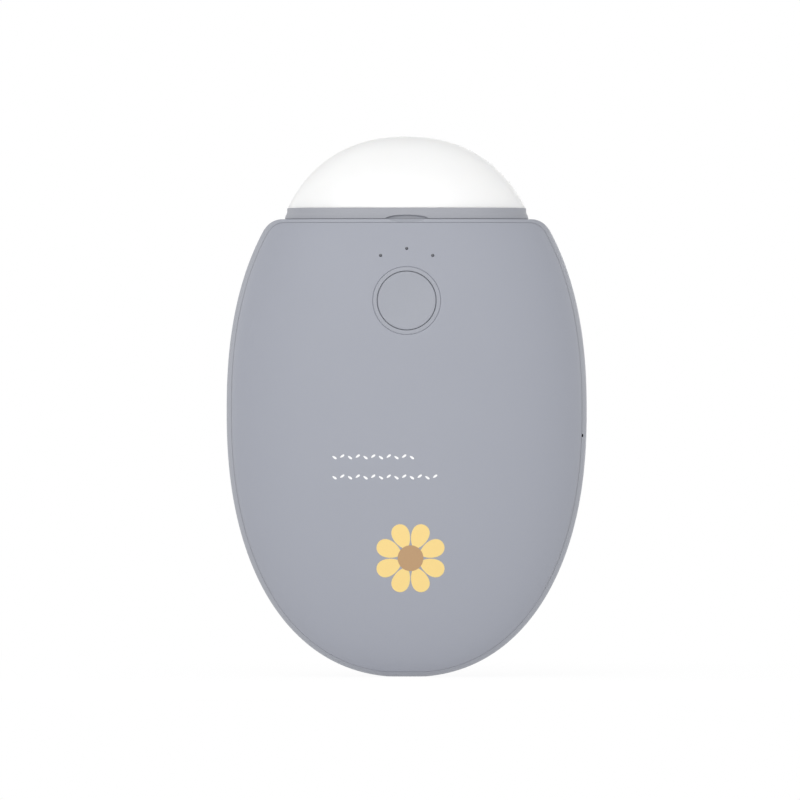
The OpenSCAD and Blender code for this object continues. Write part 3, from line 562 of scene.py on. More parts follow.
def opal(name, colour):
    """Opal polycarbonate, moulded in a satin tool: milky depth, a wide soft highlight, no grain."""
    material, tree, place = blank(name)
    cloud = add(tree, "ShaderNodeTexNoise", {"Vector": place, "Scale": 1 / (9 * MM), "Detail": 2})
    skin = add(tree, "ShaderNodeTexNoise", {"Vector": place, "Scale": 1 / (0.4 * MM), "Detail": 2})
    bump = add(tree, "ShaderNodeBump", {"Height": skin.outputs[0], "Strength": 0.05, "Distance": 0.01 * MM})
    tone = add(tree, "ShaderNodeMix", {0: cloud.outputs[0], 6: colour, 7: shade(colour, 0.985)},
               data_type="RGBA")
    rough = add(tree, "ShaderNodeMapRange", {"Value": cloud.outputs[0], "To Min": 0.36, "To Max": 0.44})
    shader = add(tree, "ShaderNodeBsdfPrincipled", {
        "Base Color": tone.outputs[2],
        "Roughness": rough.outputs[0],
        "Normal": bump.outputs[0],
        "IOR": 1.585,
        "Subsurface Weight": 0.3,
        "Subsurface Radius": (1.0, 0.96, 0.9),
        "Subsurface Scale": 2.5 * MM,
    })
    add(tree, "ShaderNodeOutputMaterial", {"Surface": shader.outputs[0]})
    return material


def ink(name, colour):
    """Pad-printed ink: a flat film with soft pinholes, drawn at 0.25 mm, a bit glossier than the lacquer."""
    material, tree, place = blank(name)
    film = add(tree, "ShaderNodeTexNoise", {"Vector": place, "Scale": 1 / (0.25 * MM), "Detail": 4})
    tone = add(tree, "ShaderNodeMix", {0: film.outputs[0], 6: shade(colour, 0.965), 7: shade(colour, 1.02)},
               data_type="RGBA")
    rough = add(tree, "ShaderNodeMapRange", {"Value": film.outputs[0], "To Min": 0.42, "To Max": 0.52})
    shader = add(tree, "ShaderNodeBsdfPrincipled", {
        "Base Color": tone.outputs[2],
        "Roughness": rough.outputs[0],
        "IOR": 1.5,
    })
    add(tree, "ShaderNodeOutputMaterial", {"Surface": shader.outputs[0]})
    return material


# Finishes of the parts inside: the nodes that take it, two colours, roughness, metal, grain and bump in mm,
# and the stretch of the grain where it has one
FINISHES = {
    # Moulded white ABS from a spark-eroded tool: an even fine stipple
    "moulded_white_abs": (["chassis_tray", "switch_plunger"],
                          "#EFEFEB", "#E6E6E2", (0.42, 0.52), 0, 0.35, 0.012),
    # Frosted polycarbonate windows: milky, with a fine etched skin
    "frosted_polycarbonate": (["lamp_lenses"], "#F5EBD2", "#ECDFC0", (0.3, 0.42), 0, 0.3, 0.008),
    # Smoked polycarbonate light pipes: dark and polished
    "smoked_polycarbonate": ([], "#505259", "#45474E", (0.18, 0.28), 0, 0.5, 0.002),
    # Bright nickel plate: a mirror with slight cloudiness
    "bright_nickel_plate": (["cap_magnets", "deck_magnets", "socket_shell", "cell_tabs"],
                            "#D6D8DA", "#C6C8CB", (0.14, 0.26), 1, 1.2, 0.002),
    # Zinc-plated steel screws: grey and slightly grainy
    "zinc_plated_steel": (["chassis_screws", "board_screws", "top_board_screws"],
                          "#A7AAAE", "#8E9195", (0.28, 0.42), 1, 0.3, 0.006),
    # Glass-epoxy board under solder mask: green with the weave faintly through
    "solder_mask": (["top_board", "main_board", "protection_board"],
                    "#2C6B48", "#235A3B", (0.3, 0.4), 0, 0.5, 0.008),
    # Moulded epoxy of chips and switch: dull near black
    "moulded_epoxy": (["socket_tongue", "board_chips", "power_inductor", "switch_base", "temperature_sensor"],
                      "#2A2B2E", "#222326", (0.55, 0.7), 0, 0.15, 0.01),
    # Phosphor under clear epoxy: warm yellow and shiny
    "led_phosphor": (["lamp_leds", "indicator_leds"], "#F3DC93", "#EBCB74", (0.16, 0.28), 0, 0.4, 0.004),
    # Polyimide ribbon: amber film with fine copper lines along it
    "polyimide_ribbon": (["board_ribbon"], "#D9A54E", "#B57A2C", (0.3, 0.42), 0, 0.5, 0.006, (1, 0.05, 0.05)),
    # Laminated aluminium pouch: dull silver, softly creased
    "aluminium_pouch": (["battery_cells"], "#D0D3D6", "#BFC3C7", (0.34, 0.5), 1, 2.2, 0.05),
    # Rolled aluminium plate: rolling lines up the sheet
    "rolled_aluminium": (["front_heat_plate", "back_heat_plate"],
                         "#CDD0D3", "#BABDC1", (0.3, 0.46), 1, 0.4, 0.005, (1, 1, 0.04)),
    # Polyimide heating film: amber over copper tracks
    "polyimide_film": (["front_heating_film", "back_heating_film"],
                       "#C98A38", "#A66A22", (0.28, 0.4), 0, 1.6, 0.01, (1, 1, 0.2)),
    # Closed-cell foam: pale with small bubbles
    "closed_cell_foam": (["front_foam_pad", "back_foam_pad"],
                         "#EAE6DB", "#D9D4C7", (0.8, 0.95), 0, 0.6, 0.06),
    # Silicone-sheathed wires: waxy and even
    "red_silicone": (["positive_lead", "heater_leads"], "#B8342F", "#A82B27", (0.42, 0.54), 0, 0.5, 0.006),
    "black_silicone": (["negative_lead"], "#2B2C2F", "#232427", (0.42, 0.54), 0, 0.5, 0.006),
    "white_silicone": (["sensor_lead"], "#F0F0EE", "#E4E4E1", (0.42, 0.54), 0, 0.5, 0.006),
}


def inner_finish(name):
    """A finish of the table above, whose pattern reads the piece's own place."""
    _, first, second, (low, high), metal, grain, height, *stretch = FINISHES[name]
    material, tree, place = blank(name)
    turned = add(tree, "ShaderNodeMapping", {"Vector": place, "Scale": stretch[0] if stretch else (1, 1, 1)})
    size = 1 / (grain * MM)
    noise = add(tree, "ShaderNodeTexNoise", {"Vector": turned.outputs[0], "Scale": size, "Detail": 3})
    bump = add(tree, "ShaderNodeBump", {"Height": noise.outputs[0], "Strength": 0.6, "Distance": height * MM})
    tone = add(tree, "ShaderNodeMix", {0: noise.outputs[0], 6: srgb(first), 7: srgb(second)},
               data_type="RGBA")
    rough = add(tree, "ShaderNodeMapRange", {"Value": noise.outputs[0], "To Min": low, "To Max": high})
    shader = add(tree, "ShaderNodeBsdfPrincipled", {
        "Base Color": tone.outputs[2],
        "Roughness": rough.outputs[0],
        "Metallic": metal,
        "Normal": bump.outputs[0],
    })
    add(tree, "ShaderNodeOutputMaterial", {"Surface": shader.outputs[0]})
    return material


def dress(piece, material, body, slot, *nodes):
    """Gives a finished piece its material and body, and hides the nodes that it stands for. The slot is not
    used.
    """
    piece.data.materials.clear()
    piece.data.materials.append(material)
    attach(piece, body)
    if nodes:
        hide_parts(*nodes)


def material_for(name, maker, *colour):
    """The material of that name, made the first time that it is asked for."""
    return bpy.data.materials.get(name) or maker(name, *colour)


# Pieces


def widen(piece, share, centre):
    """Stretches a piece along X about a point."""
    edit(piece)
    bpy.ops.mesh.select_all(action="SELECT")
    bpy.ops.transform.resize(value=(share, 1, 1), center_override=centre)
    bpy.ops.object.mode_set(mode="OBJECT")


def lift(piece, form, away=0):
    """Sets a flat piece seen from the front on the case's front surface."""
    bm = bmesh.from_edit_mesh(piece.data)
    for vertex in bm.verts:
        vertex.co.y = -form.half_depth(vertex.co.x, vertex.co.z - form.middle) - away
    bmesh.update_edit_mesh(piece.data)


def flat_loop(form, points):
    """Real places of points seen from the front, in the case's middle plane."""
    return [form.place(x, 0, z) for x, z in points]


def circle_points(x, z, radius, count):
    """Points of a circle seen from the front."""
    turns = [2 * pi * i / count for i in range(count)]
    return [(x + radius * cos(turn), z + radius * sin(turn)) for turn in turns]


def part_way(first, second, share):
    """Points a share of the way from a loop to another."""
    return [(a[0] + (b[0] - a[0]) * share, a[1] + (b[1] - a[1]) * share) for a, b in zip(first, second)]


def cover(name, form, hole=0):
    """A front cover: a sheet on the case's form with its rim and wall, and a seat for the button's ring
    where it has a hole."""
    case, controls = form.case, form.controls
    outer = form.outline(case.seam_inset, case.seam_drop)
    centre = form.button if hole else 0
    turns = [atan2(z - centre, x) for x, z in outer]
    inner = [(hole * cos(t), centre + hole * sin(t)) for t in turns]
    piece, edge = start_loop(name, flat_loop(form, outer))
    mesh = piece.data
    loop, share, power = edge, 0.35, 1.6
    for k in range(1, COVER_STEPS + 1):
        # The rings stand closer together near the rim, where the form bends most
        part = k / COVER_STEPS
        way = share * (1 - (1 - part) ** power) + (1 - share) * (1 - cos(pi / 2 * part))
        loop = extrude_loop(mesh, loop, flat_loop(form, part_way(outer, inner, way)))
    lift(piece, form)
    for picked, depth in [(edge, case.rim_depth)] + ([(loop, controls.ring_depth)] if hole else []):
        bm = bmesh.from_edit_mesh(mesh)
        bm.verts.ensure_lookup_table()
        back = [bm.verts[i].co + Vector((0, depth, 0)) for i in picked]
        extrude_loop(mesh, picked, back)
    near, button = controls.button_width, form.middle + form.button

    def at_button(p):
        return abs(p.x) < near and abs(p.z - button) < near

    round_edges(piece, controls.ring_round, at_button)
    round_edges(piece, case.seam_round, lambda p: not at_button(p))
    close_up(piece)
    face_front(piece)
    apply_modifier(piece, "SOLIDIFY", thickness=case.wall, offset=-1, use_even_offset=True, use_rim=True)
    return piece


def face_front(piece):
    """Turns an open sheet's faces to the front."""
    bm = edit(piece)
    if sum(face.normal.y * face.calc_area() for face in bm.faces) > 0:
        bpy.ops.mesh.select_all(action="SELECT")
        bpy.ops.mesh.flip_normals()
    bpy.ops.object.mode_set(mode="OBJECT")


def turn_round(piece):
    """Mirrors a closed piece to the back of the case, and turns its faces outward again."""
    only(piece)
    piece.scale = (1, -1, 1)
    bpy.ops.object.transform_apply(location=True, rotation=True, scale=True)
    if edit(piece).calc_volume(signed=True) < 0:
        bpy.ops.mesh.select_all(action="SELECT")
        bpy.ops.mesh.flip_normals()
    bpy.ops.object.mode_set(mode="OBJECT")


class HANDWARMER_OT_covers(bpy.types.Operator):
    """Model the front and back covers"""

    bl_idname = "handwarmer.covers"
    bl_label = "Covers"

    def execute(self, context):
        form = Pebble()
        controls = form.controls
        hole = controls.button_width / 2 + controls.button_gap + controls.ring_width + SHADOW_LINE
        material = material_for("soft_touch_covers", soft_touch, context.scene.warmer_colours.covers[:])
        front = cover("front_cover_shell", form, hole)
        radius, reach = controls.dot_width / 2 + SHADOW_LINE, 8 * MM
        for x, z in dot_places(form):
            place = form.place(x, -form.half_depth(x, z), z)
            cut(front, cylinder("dot_hole", place, radius, reach, ALONG_Y, steps=32))
        smooth(front)
        dress(front, material, "case", "soft_touch_shell", "front_cover")
        back = cover("back_cover_shell", form)
        turn_round(back)
        smooth(back)
        dress(back, material, "case", "soft_touch_shell", "back_cover")
        return {"FINISHED"}


def dot_places(form):
    """Places of the indicator dots, seen from the front."""
    reach, angle = form.controls.dot_reach, form.controls.dot_angle
    return [(reach * sin(turn), form.button + reach * cos(turn)) for turn in (-angle, 0, angle)]


class HANDWARMER_OT_frame(bpy.types.Operator):
    """Model the frame between the covers, with the deck and the vent slot"""

    bl_idname = "handwarmer.frame"
    bl_label = "Frame"

    def execute(self, context):
        form = Pebble()
        case, cap = form.case, form.cap
        inset, drop = case.seam_inset - case.seam_line, case.seam_drop - case.seam_line
        edge = form.outline(inset, drop)
        case_edge = form.outline(0, 0)
        inner = form.outline(case.frame_wall, case.deck_thickness)
        seam = form.outline(case.seam_inset, case.seam_drop)
        seat = [form.half_depth(x, z) - case.rim_depth - SEAT_PLAY for x, z in seam]
        lips, steps = [], 10
        for share in [sin(pi / 2 * k / steps) for k in range(steps + 1)]:
            points = part_way(edge, case_edge, share)
            lips.append([form.place(x, -form.half_depth(x, z), z) for x, z in points])
        far = [[Vector((p.x, -p.y, p.z)) for p in lip] for lip in lips[::-1]]
        inside = [[form.place(x, way * y, z) for (x, z), y in zip(line, seat)]
                  for line, way in ((edge, 1), (inner, 1), (inner, -1), (edge, -1))]
        piece = loft("mid_frame_band", lips + far + inside, closed=True)
        out = (cap.nail_radius - cap.nail_depth) / sqrt(2)
        place = form.place(0, -form.half_depth(0, form.deck) - out, form.deck + out)
        deselect()
        bpy.ops.mesh.primitive_uv_sphere_add(
            segments=192, ring_count=96, radius=cap.nail_radius, location=place)
        cut(piece, keep("nail_hollow"))
        top = form.middle + form.deck
        round_edges(piece, case.deck_round, lambda p: p.z > top - HAIR, segments=4, least=28)
        round_edges(piece, case.seam_round, lambda p: on_seam(form, p, inset, drop), least=24)
        bevel = 0.04 * MM
        section = [(0, -MM, 0), (cap.land_inset, -MM), (cap.land_inset, cap.land_height - bevel),
                   (cap.land_inset + bevel, cap.land_height), (0, cap.land_height, 0)]
        cut(piece, loft("deck_land", [form.cap_plan(*row) for row in section]), "UNION")
        slot = capsule("deck_slot", form.ring_w - cap.slot_in, form.slot_d,
                       top - case.deck_thickness - OVERRUN, top + OVERRUN)
        cut(piece, slot)
        x = form.half_width(-case.vent_drop, case.seam_inset - case.vent_width / 2)
        reach = 9 * MM
        vent = cylinder("vent_slot", form.place(x, -case.edge_band / 2 - reach / 2, -case.vent_drop),
                        case.vent_height / 2, reach, ALONG_Y, steps=32)
        widen(vent, case.vent_width / case.vent_height, form.place(x, 0, -case.vent_drop))
        cut(piece, vent)
        smooth(piece)
        material = material_for("soft_touch_frame", soft_touch, context.scene.warmer_colours.frame[:])
        dress(piece, material, "case", "frame_plastic", "mid_frame")
        return {"FINISHED"}


def on_seam(form, point, inset, drop):
    """Whether a point lies on the frame's edge beside the seam, on the case's surface."""
    surface_play, deck_play, outline_play = 0.03 * MM, 0.05 * MM, 0.0012
    z = point.z - form.middle
    over = z - form.deck + drop
    if abs(abs(point.y) - form.half_depth(point.x, z)) > surface_play:
        return False
    if over > -deck_play:
        return over < deck_play
    half_w, half_h, power = form.half_w - inset, form.half_h - inset, form.case.outline_power
    share = ((abs(point.x) / half_w) ** power + (abs(z) / half_h) ** power) ** (1 / power)
    return share < 1 + outline_play


class HANDWARMER_OT_button(bpy.types.Operator):
    """Model the button cap and the ring round it"""

    bl_idname = "handwarmer.button"
    bl_label = "Button"

    def execute(self, context):
        form = Pebble()
        controls, case = form.controls, form.case
        face = controls.button_width / 2
        front = -form.half_depth(0, form.button)
        ends = [form.half_depth(0, form.button + way * face) for way in (-1, 1)]
        slope = (ends[0] - ends[1]) / (2 * face)
        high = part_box("button_cap")[1]
        soft, dish_steps, rim_steps, rim_share = controls.button_round, 14, 4, 0.06
        flat, rim = face - soft, front + controls.dish * rim_share
        profile = []
        for k in range(dish_steps + 1):
            r = flat * k / dish_steps
            profile.append((r, front + controls.dish * (1 - (r / face) ** 2)))
        for k in range(1, rim_steps + 1):
            t = pi / 2 * k / rim_steps
            profile.append((flat + soft * sin(t), rim + soft * (1 - cos(t))))
        back = high.y - controls.stem_height
        flange = back - controls.flange
        profile += [(face, flange), (high.x, flange), (high.x, back),
                    (controls.stem_width / 2, back), (controls.stem_width / 2, high.y), (0, high.y)]
        cap = lathe("button_cap_body", profile, 0, form.place(0, 0, form.button).z)
        for vertex in cap.data.vertices:
            if vertex.co.y < front + controls.ring_depth:
                vertex.co.y += (vertex.co.z - form.middle - form.button) * slope
        smooth(cap)
        material = material_for("soft_touch_button", soft_touch, context.scene.warmer_colours.button[:])
        dress(cap, material, "button", "button_plastic", "button_cap")
        hole = face + controls.button_gap
        steps, count = 4, 128
        rings = [[form.place(x, -form.half_depth(x, z), z)
                  for x, z in circle_points(0, form.button, hole + controls.ring_width * k / steps, count)]
                 for k in range(steps + 1)]
        floor = front + controls.ring_depth - SEAT_PLAY
        for r in (hole + controls.ring_width, hole):
            rings.append([form.place(x, floor, z) for x, z in circle_points(0, form.button, r, count)])
        bezel = loft("button_ring", rings, closed=True)
        round_edges(bezel, controls.ring_round, lambda p: p.y < front + controls.ring_depth / 2)
        smooth(bezel)
        dress(bezel, material, "case", "button_plastic", "button_bezel")
        return {"FINISHED"}


class HANDWARMER_OT_pipes(bpy.types.Operator):
    """Model the light pipes whose tips are the indicator dots"""

    bl_idname = "handwarmer.pipes"
    bl_label = "Light pipes"

    def execute(self, context):
        form = Pebble()
        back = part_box("light_pipes")[1].y
        dots = dot_places(form)
        radius, thick_radius = form.controls.dot_width / 2, 0.9 * MM
        margin, thickness, play, sunk, soft = 1.2 * MM, 0.8 * MM, 0.1 * MM, 0.08 * MM, 0.2 * MM
        # Shares of the radius, and heights over the tip's edge
        crown = ((0, 0.03 * MM), (0.5, 0.022 * MM), (0.85, 0), (1, -0.05 * MM))
        left, right, top = dots[0][0] - margin, dots[2][0] + margin, dots[1][1] + margin
        bar = play - form.half_depth(right, top, form.case.wall)
        foot = bar + thickness / 2
        pipes = []
        for x, z in dots:
            tip = sunk - form.half_depth(x, z)
            profile = [(radius * share, tip - height) for share, height in crown]
            profile += [(radius, foot), (thick_radius, foot), (thick_radius, back), (0, back)]
            pipes.append(lathe("light_pipe", profile, x, z + form.middle, steps=40))
        plate = block("light_pipe_bar", form.place(left, bar, dots[0][1] - margin),
                      form.place(right, bar + thickness, top))
        round_edges(plate, soft, lambda p: True, segments=2, least=60)
        for pipe in pipes:
            cut(plate, pipe, "UNION")
        plate.name = plate.data.name = "light_pipe_set"
        smooth(plate)
        dress(plate, material_for("smoked_polycarbonate", inner_finish), "case", "clear_pipe", "light_pipes")
        return {"FINISHED"}


class HANDWARMER_OT_cap(bpy.types.Operator):
    """Model the lamp cap: its ring with the fingernail scoop, and the opal dome"""

    bl_idname = "handwarmer.cap"
    bl_label = "Lamp cap"

    def execute(self, context):
        form = Pebble()
        cap = form.cap
        colours = context.scene.warmer_colours
        lip, step, slip = 0.45 * MM, 0.15 * MM, 0.1 * MM
        collar = lip + step + cap.dome_wall + slip
        flange = cap.base_height + slip
        # Width, slope and height of the tongue that centres the dome
        tongue, slope, rise = 1 * MM, 0.35 * MM, 0.5 * MM
        # Height of the straight rim, bulge of the skirt under it, and insets of the foot and the inner wall
        rim, bulge, foot, wall = 0.75 * MM, [(0.33 * MM, 1.05 * MM), (0.12 * MM, 0.65 * MM)], 3.1 * MM, 5 * MM
        section = [(collar + tongue, cap.ring_top + rise), (collar + slope, cap.ring_top + rise),
                   (collar, cap.ring_top), (lip, cap.ring_top), (lip, cap.ring_top - rim), *bulge,
                   (0, cap.ring_gap), (foot, cap.ring_gap), (foot, flange), (wall, flange),
                   (wall, cap.ring_top), (collar + tongue, cap.ring_top)]
        ring = loft("cap_ring_body", [form.cap_plan(inset, z) for inset, z in section], closed=True)
        deck = form.middle + form.deck
        top = deck + cap.ring_top
        round_edges(ring, cap.edge_round,
                    lambda p: p.z < top + HAIR and outside(form, p, lip + step), least=50)
        magnet, ear_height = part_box("cap_magnets")[1], 1.6 * MM
        for side in (-1, 1):
            x = side * (magnet.x - magnet.y)
            ear = cylinder("ear", (x, 0, deck + flange + ear_height / 2), cap.ear_width / 2, ear_height)
            cut(ring, ear, "UNION")
            pocket(ring, x, deck + flange, magnet.y + SEAT_PLAY, MAGNET_POCKET)
        back, front, steps = cap.scoop_depth - form.ring_d, -form.ring_d - OVERRUN, 12
        profile = [(0, front), (cap.scoop_rise, front)]
        for k in range(steps + 1):
            t = pi / 2 * k / steps
            profile.append((cap.scoop_rise - cap.cove * (1 - cos(t)), back - cap.cove * (1 - sin(t))))
        arch = lathe("arch", profile + [(0, back)], 0, deck + cap.ring_gap, steps=256)
        widen(arch, cap.scoop_reach / cap.scoop_rise, (0, 0, 0))
        cut(ring, arch)
        smooth(ring)
        # The ring's lighter colour is partly a painted highlight for the key light on the collar, and the
        # scoop shares it
        material = material_for("soft_touch_ring", soft_touch, colours.ring[:])
        dress(ring, material, "cap", "frame_plastic", "cap_ring")
        outer, inner = [dome_skin(form, lip + step, wall) for wall in (0, cap.dome_wall)]
        dome = loft("lamp_dome_shell", outer + inner[::-1])
        round_edges(dome, cap.dome_round, lambda p: p.z < top + HAIR, segments=2, least=60)
        smooth(dome)
        material = material_for("opal_polycarbonate", opal, colours.dome[:])
        dress(dome, material, "cap", "opal_dome", "lamp_dome")
        return {"FINISHED"}


def dome_skin(form, inset, wall):
    """Level loops of the dome's skin from its top to its foot, less a wall."""
    cap, power = form.cap, form.cap.dome_power
    sink = cap.dome_sink_share * cap.dome_height
    height = cap.dome_height + sink - wall
    start = asin((sink / height) ** (power / 2))
    foot = (1 - (sink / height) ** power) ** (1 / power)
    skin = []
    for k in range(DOME_STEPS + 1):
        t = pi / 2 - (pi / 2 - start) * k / DOME_STEPS
        z = height * sin(t) ** (2 / power)
        share = max(0, 1 - (z / height) ** power) ** (1 / power) if k else 0
        skin.append(form.cap_plan(inset + wall, cap.ring_top + z - sink, share / foot))
    return skin


def outside(form, point, inset):
    """Whether a point lies outside the cap's plan drawn in by an inset."""
    power = form.cap.plan_power
    share = (abs(point.x) / (form.ring_w - inset)) ** power + (abs(point.y) / (form.ring_d - inset)) ** power
    return share > 1


class HANDWARMER_OT_lamp_base(bpy.types.Operator):
    """Model the lamp base on the deck, with its lens seats, magnet pockets and inlet opening"""

    bl_idname = "handwarmer.lamp_base"
    bl_label = "Lamp base"

    def execute(self, context):
        form = Pebble()
        cap = form.cap
        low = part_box("lamp_base")[0]
        deck = form.middle + form.deck
        top, under = deck + cap.base_height, deck - form.case.deck_thickness
        soft, steps, sunk, ledge, through = 0.3 * MM, 4, 0.5 * MM, 0.5 * MM, 8 * MM
        start, bend = cap.land_height + HAIR, cap.base_height - soft
        section = [(0, start, 0), (cap.base_inset, start), (cap.base_inset, bend)]
        for k in range(1, steps + 1):
            t = pi / 2 * k / steps
            section.append((cap.base_inset + soft * (1 - cos(t)), bend + soft * sin(t)))
        section.append((0, cap.base_height, 0))
        piece = loft("lamp_base_plate", [form.cap_plan(*row) for row in section])
        slot = capsule("slot_block", form.ring_w - cap.slot_in - cap.fit, form.slot_d - cap.fit,
                       under, deck + cap.land_height + soft)
        cut(piece, slot, "UNION")
        lens, magnet, shell = [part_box(node)[1] for node in ("lamp_lenses", "deck_magnets", "socket_shell")]
        foot = under + sunk
        for side in (-1, 1):
            post_x = side * (magnet.x - magnet.y - cap.post_in)
            post = cylinder("post", (post_x, 0, (low.z + foot) / 2), cap.post_width / 2, foot - low.z)
            cut(piece, post, "UNION")
            lens_x = side * (lens.x - lens.y)
            cut(piece, cylinder("well", (lens_x, 0, deck), lens.y - ledge, through))
            pocket(piece, lens_x, top, lens.y + SEAT_PLAY, LENS_POCKET)
            pocket(piece, side * (magnet.x - magnet.y), top, magnet.y + SEAT_PLAY, MAGNET_POCKET)
        inlet = capsule("inlet", shell.x + cap.fit, shell.y + cap.fit, low.z - OVERRUN, top + OVERRUN)
        cut(piece, inlet)
        smooth(piece)
        dress(piece, material_for("moulded_white_abs", inner_finish), "case", "white_plastic", "lamp_base")
        return {"FINISHED"}


def printed(name, form, outlines, material, film, away):
    """Flat printed shapes on the front cover. Each outline is a list of places seen from the front."""
    shapes = []
    for points in outlines:
        deselect()
        bpy.ops.mesh.primitive_circle_add(vertices=len(points), radius=MM, fill_type="TRIFAN")
        shape = keep(name)
        bm = edit(shape)
        hub = next(vertex for vertex in bm.verts if len(vertex.link_faces) > 2)
        rim = [vertex for vertex in bm.verts if vertex != hub]
        for vertex, (x, z) in zip(rim, points):
            vertex.co = form.place(x, 0, z)
        hub.co = sum((vertex.co for vertex in rim), Vector()) / len(rim)
        bmesh.update_edit_mesh(shape.data)
        bpy.ops.mesh.select_all(action="SELECT")
        bpy.ops.mesh.subdivide(number_cuts=2)
        lift(shape, form, away)
        bpy.ops.mesh.normals_make_consistent(inside=False)
        face_front(shape)
        shapes.append(shape)
    piece = shapes[0]
    only(piece)
    for shape in shapes[1:]:
        shape.select_set(True)
    if len(shapes) > 1:
        bpy.ops.object.join()
    apply_modifier(piece, "SOLIDIFY", thickness=film, offset=1, use_rim=True)
    bpy.ops.object.shade_smooth_by_angle(angle=SMOOTH_ANGLE)
    dress(piece, material, "case", "soft_touch_shell")


def leaf(x, z, reach, width, turn, count):
    """A leaf-shaped outline from its foot at a place, a little wider towards its tip."""
    points, swell = [], 0.25
    along_x, along_z = cos(turn), sin(turn)
    for i in range(count):
        t = 2 * pi * i / count
        along, across = reach / 2 * (1 - cos(t)), width / 2 * sin(t) * (1 - swell * cos(t))
        points.append((x + along * along_x - across * along_z, z + along * along_z + across * along_x))
    return points


class HANDWARMER_OT_print(bpy.types.Operator):
    """Print a plain flower and two rows of dashes on the front cover"""

    bl_idname = "handwarmer.print"
    bl_label = "Print"

    def execute(self, context):
        form = Pebble()
        colours, sizes = context.scene.warmer_colours, context.scene.warmer_print
        x, z, petals = sizes.flower_x, sizes.flower_z, []
        for k in range(PETALS):
            turn = 2 * pi * (k + 0.5) / PETALS
            petals.append(leaf(x + sizes.petal_start * cos(turn), z + sizes.petal_start * sin(turn),
                               sizes.petal_reach, sizes.petal_width, turn, count=24))
        core = circle_points(x, z, sizes.core_radius, count=48)
        dashes, lean = [], radians(35)
        for row, count in enumerate(DASHES):
            for k in range(count):
                odd = k % 2
                dashes.append(leaf(sizes.dash_x + sizes.dash_step * k,
                                   sizes.dash_z - sizes.row_step * row - sizes.dash_drop * odd,
                                   sizes.dash_reach, sizes.dash_width, lean if odd else -lean, count=12))
        for name, outlines, material, colour, away in (
            ("print_petals", petals, "yellow_ink", colours.petal, sizes.lift),
            ("print_core", [core], "brown_ink", colours.core, sizes.core_lift),
            ("print_dashes", dashes, "white_ink", colours.dash, sizes.lift),
        ):
            printed(name, form, outlines, material_for(material, ink, colour[:]), sizes.film, away)
        return {"FINISHED"}


class HANDWARMER_OT_inside(bpy.types.Operator):
    """Give every part inside its real finish"""

    bl_idname = "handwarmer.inside"
    bl_label = "Inside finishes"

    def execute(self, context):
        for finish, (nodes, *_) in FINISHES.items():
            material = material_for(finish, inner_finish)
            for node in nodes:
                for slot in frame["nodes"][node].material_slots:
                    slot.material = material
        return {"FINISHED"}


def seen(tree):
    """Whether the camera sees a surface, straight or by a mirror or a window, as a socket."""
    path = add(tree, "ShaderNodeLightPath").outputs
    either = add(tree, "ShaderNodeMath", {0: path["Is Camera Ray"], 1: path["Is Glossy Ray"]},
                 operation="MAXIMUM")
    return add(tree, "ShaderNodeMath", {0: either.outputs[0], 1: path["Is Transmission Ray"]},
               operation="MAXIMUM").outputs[0]


# Place and width of each lamp in metres, and its share of the key lamp's power
SOFTBOXES = (
    ("key_softbox", (-0.12, -0.94, 0.38), 0.55, 1),
    ("top_softbox", (-0.3, -0.3, 1.05), 0.8, 0.26),
    ("left_softbox", (-0.9, 0.45, 0.25), 0.5, 0.3),
    ("right_softbox", (0.9, 0.45, 0.2), 0.5, 0.32),
    ("back_softbox", (0.25, 1, 0.3), 0.6, 0.24),
)


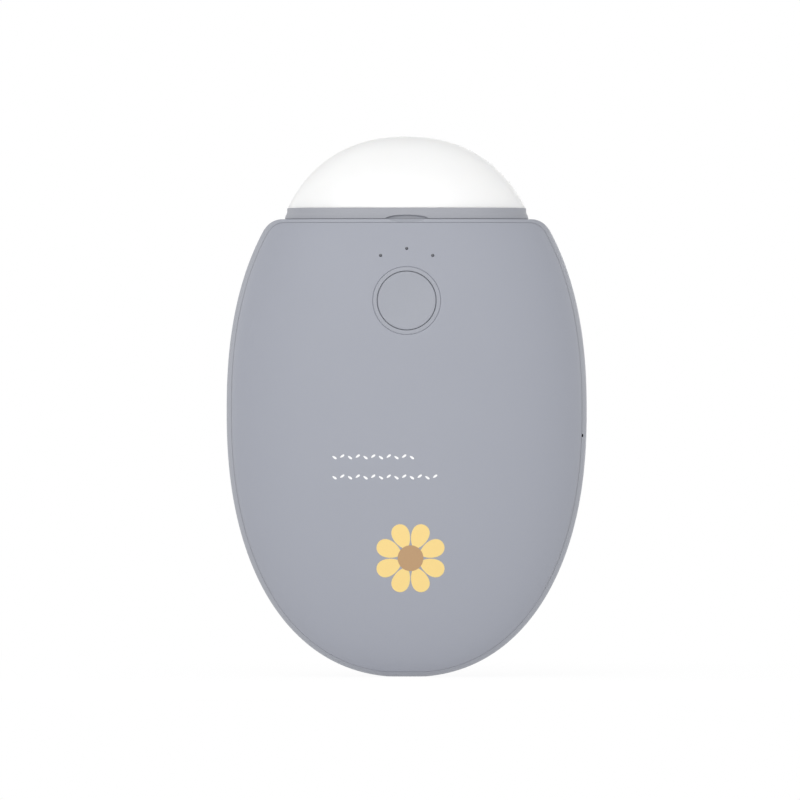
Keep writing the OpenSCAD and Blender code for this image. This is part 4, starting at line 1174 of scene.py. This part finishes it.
class HANDWARMER_OT_stage(bpy.types.Operator):
    """Set the floor, the lamps and the camera"""

    bl_idname = "handwarmer.stage"
    bl_label = "Stage"

    def execute(self, context):
        stage = context.scene.warmer_stage
        scene = context.scene
        scene.view_settings.view_transform = "Standard"
        deselect()
        bpy.ops.mesh.primitive_plane_add(size=4, location=(0, 0, -HAIR))
        floor = keep("studio_floor")
        material, tree, place = blank("pale_floor")
        speckle = add(tree, "ShaderNodeTexNoise", {"Vector": place, "Scale": 20, "Detail": 1})
        tone = add(tree, "ShaderNodeMix", {0: speckle.outputs[0], 6: srgb("#F2F2F2"), 7: srgb("#EFEFF0")},
                   data_type="RGBA")
        base = add(tree, "ShaderNodeBsdfDiffuse", {"Color": tone.outputs[2]})
        reach = add(tree, "ShaderNodeVectorMath", {0: place}, operation="LENGTH").outputs["Value"]
        fade = {"Value": reach, "From Min": stage.fade_start, "From Max": stage.fade_end, "To Max": 1}
        near = add(tree, "ShaderNodeMapRange", {**fade, "To Min": stage.floor_lift})
        far = add(tree, "ShaderNodeMapRange", {**fade, "To Min": stage.floor_share})
        white = add(tree, "ShaderNodeEmission", {"Color": WHITE, "Strength": near.outputs[0]})
        share = add(tree, "ShaderNodeMix", {0: seen(tree), 2: stage.floor_glow, 3: far.outputs[0]})
        shader = add(tree, "ShaderNodeMixShader",
                     {0: share.outputs[0], 1: base.outputs[0], 2: white.outputs[0]})
        add(tree, "ShaderNodeOutputMaterial", {"Surface": shader.outputs[0]})
        floor.data.materials.append(material)

        world = bpy.data.worlds.new("white_room")
        world.use_nodes = True
        scene.world = world
        sky = world.node_tree
        sky.nodes.clear()
        strength = add(sky, "ShaderNodeMapRange", {"Value": seen(sky), "To Min": stage.sky, "To Max": 1})
        background = add(sky, "ShaderNodeBackground", {"Color": WHITE, "Strength": strength.outputs[0]})
        add(sky, "ShaderNodeOutputWorld", {"Surface": background.outputs[0]})

        target = Vector((0, 0, 52 * MM))
        for name, place, size, share in SOFTBOXES:
            lamp = bpy.data.lights.new(name, "AREA")
            lamp.shape, lamp.size, lamp.energy = "SQUARE", size, stage.key_power * share
            holder = bpy.data.objects.new(name, lamp)
            scene.collection.objects.link(holder)
            holder.location = place
            holder.rotation_euler = (target - holder.location).to_track_quat("-Z", "Y").to_euler()

        camera = bpy.data.cameras.new("photo_camera")
        camera.lens, camera.sensor_width = stage.lens, 36
        distance = stage.field * camera.lens / camera.sensor_width
        camera.clip_start, camera.clip_end = 0.1, 20
        holder = bpy.data.objects.new("photo_camera", camera)
        scene.collection.objects.link(holder)
        holder.location = (stage.aim_x, -distance, stage.aim_z)
        holder.rotation_euler = (pi / 2, 0, 0)
        scene.camera = holder
        return {"FINISHED"}


class HANDWARMER_PT_panel(bpy.types.Panel):
    """Lists the sizes, colours and operators"""

    bl_idname = "HANDWARMER_PT_panel"
    bl_label = "Hand Warmer"
    bl_space_type = "VIEW_3D"
    bl_region_type = "UI"
    bl_category = "Hand Warmer"

    def draw(self, context):
        for operator in OPERATORS:
            self.layout.operator(operator.bl_idname)
        for name, group in SETTINGS.items():
            box = self.layout.box()
            box.label(text=group.__doc__)
            for key in group.__annotations__:
                box.prop(getattr(context.scene, name), key)


OPERATORS = (
    HANDWARMER_OT_stage,
    HANDWARMER_OT_covers,
    HANDWARMER_OT_frame,
    HANDWARMER_OT_button,
    HANDWARMER_OT_pipes,
    HANDWARMER_OT_cap,
    HANDWARMER_OT_lamp_base,
    HANDWARMER_OT_print,
    HANDWARMER_OT_inside,
)


def register():
    for group in SETTINGS.values():
        bpy.utils.register_class(group)
    for name, group in SETTINGS.items():
        setattr(bpy.types.Scene, name, PointerProperty(type=group))
    for operator in OPERATORS:
        bpy.utils.register_class(operator)
    bpy.utils.register_class(HANDWARMER_PT_panel)


def unregister():
    bpy.utils.unregister_class(HANDWARMER_PT_panel)
    for operator in OPERATORS[::-1]:
        bpy.utils.unregister_class(operator)
    for name, group in SETTINGS.items():
        delattr(bpy.types.Scene, name)
        bpy.utils.unregister_class(group)


def main():
    """Registers the add-on and makes every piece in order."""
    register()
    bpy.ops.handwarmer.stage()
    bpy.ops.handwarmer.covers()
    bpy.ops.handwarmer.frame()
    bpy.ops.handwarmer.button()
    bpy.ops.handwarmer.pipes()
    bpy.ops.handwarmer.cap()
    bpy.ops.handwarmer.lamp_base()
    bpy.ops.handwarmer.print()
    bpy.ops.handwarmer.inside()
    deselect()


if __name__ == "__main__":
    main()
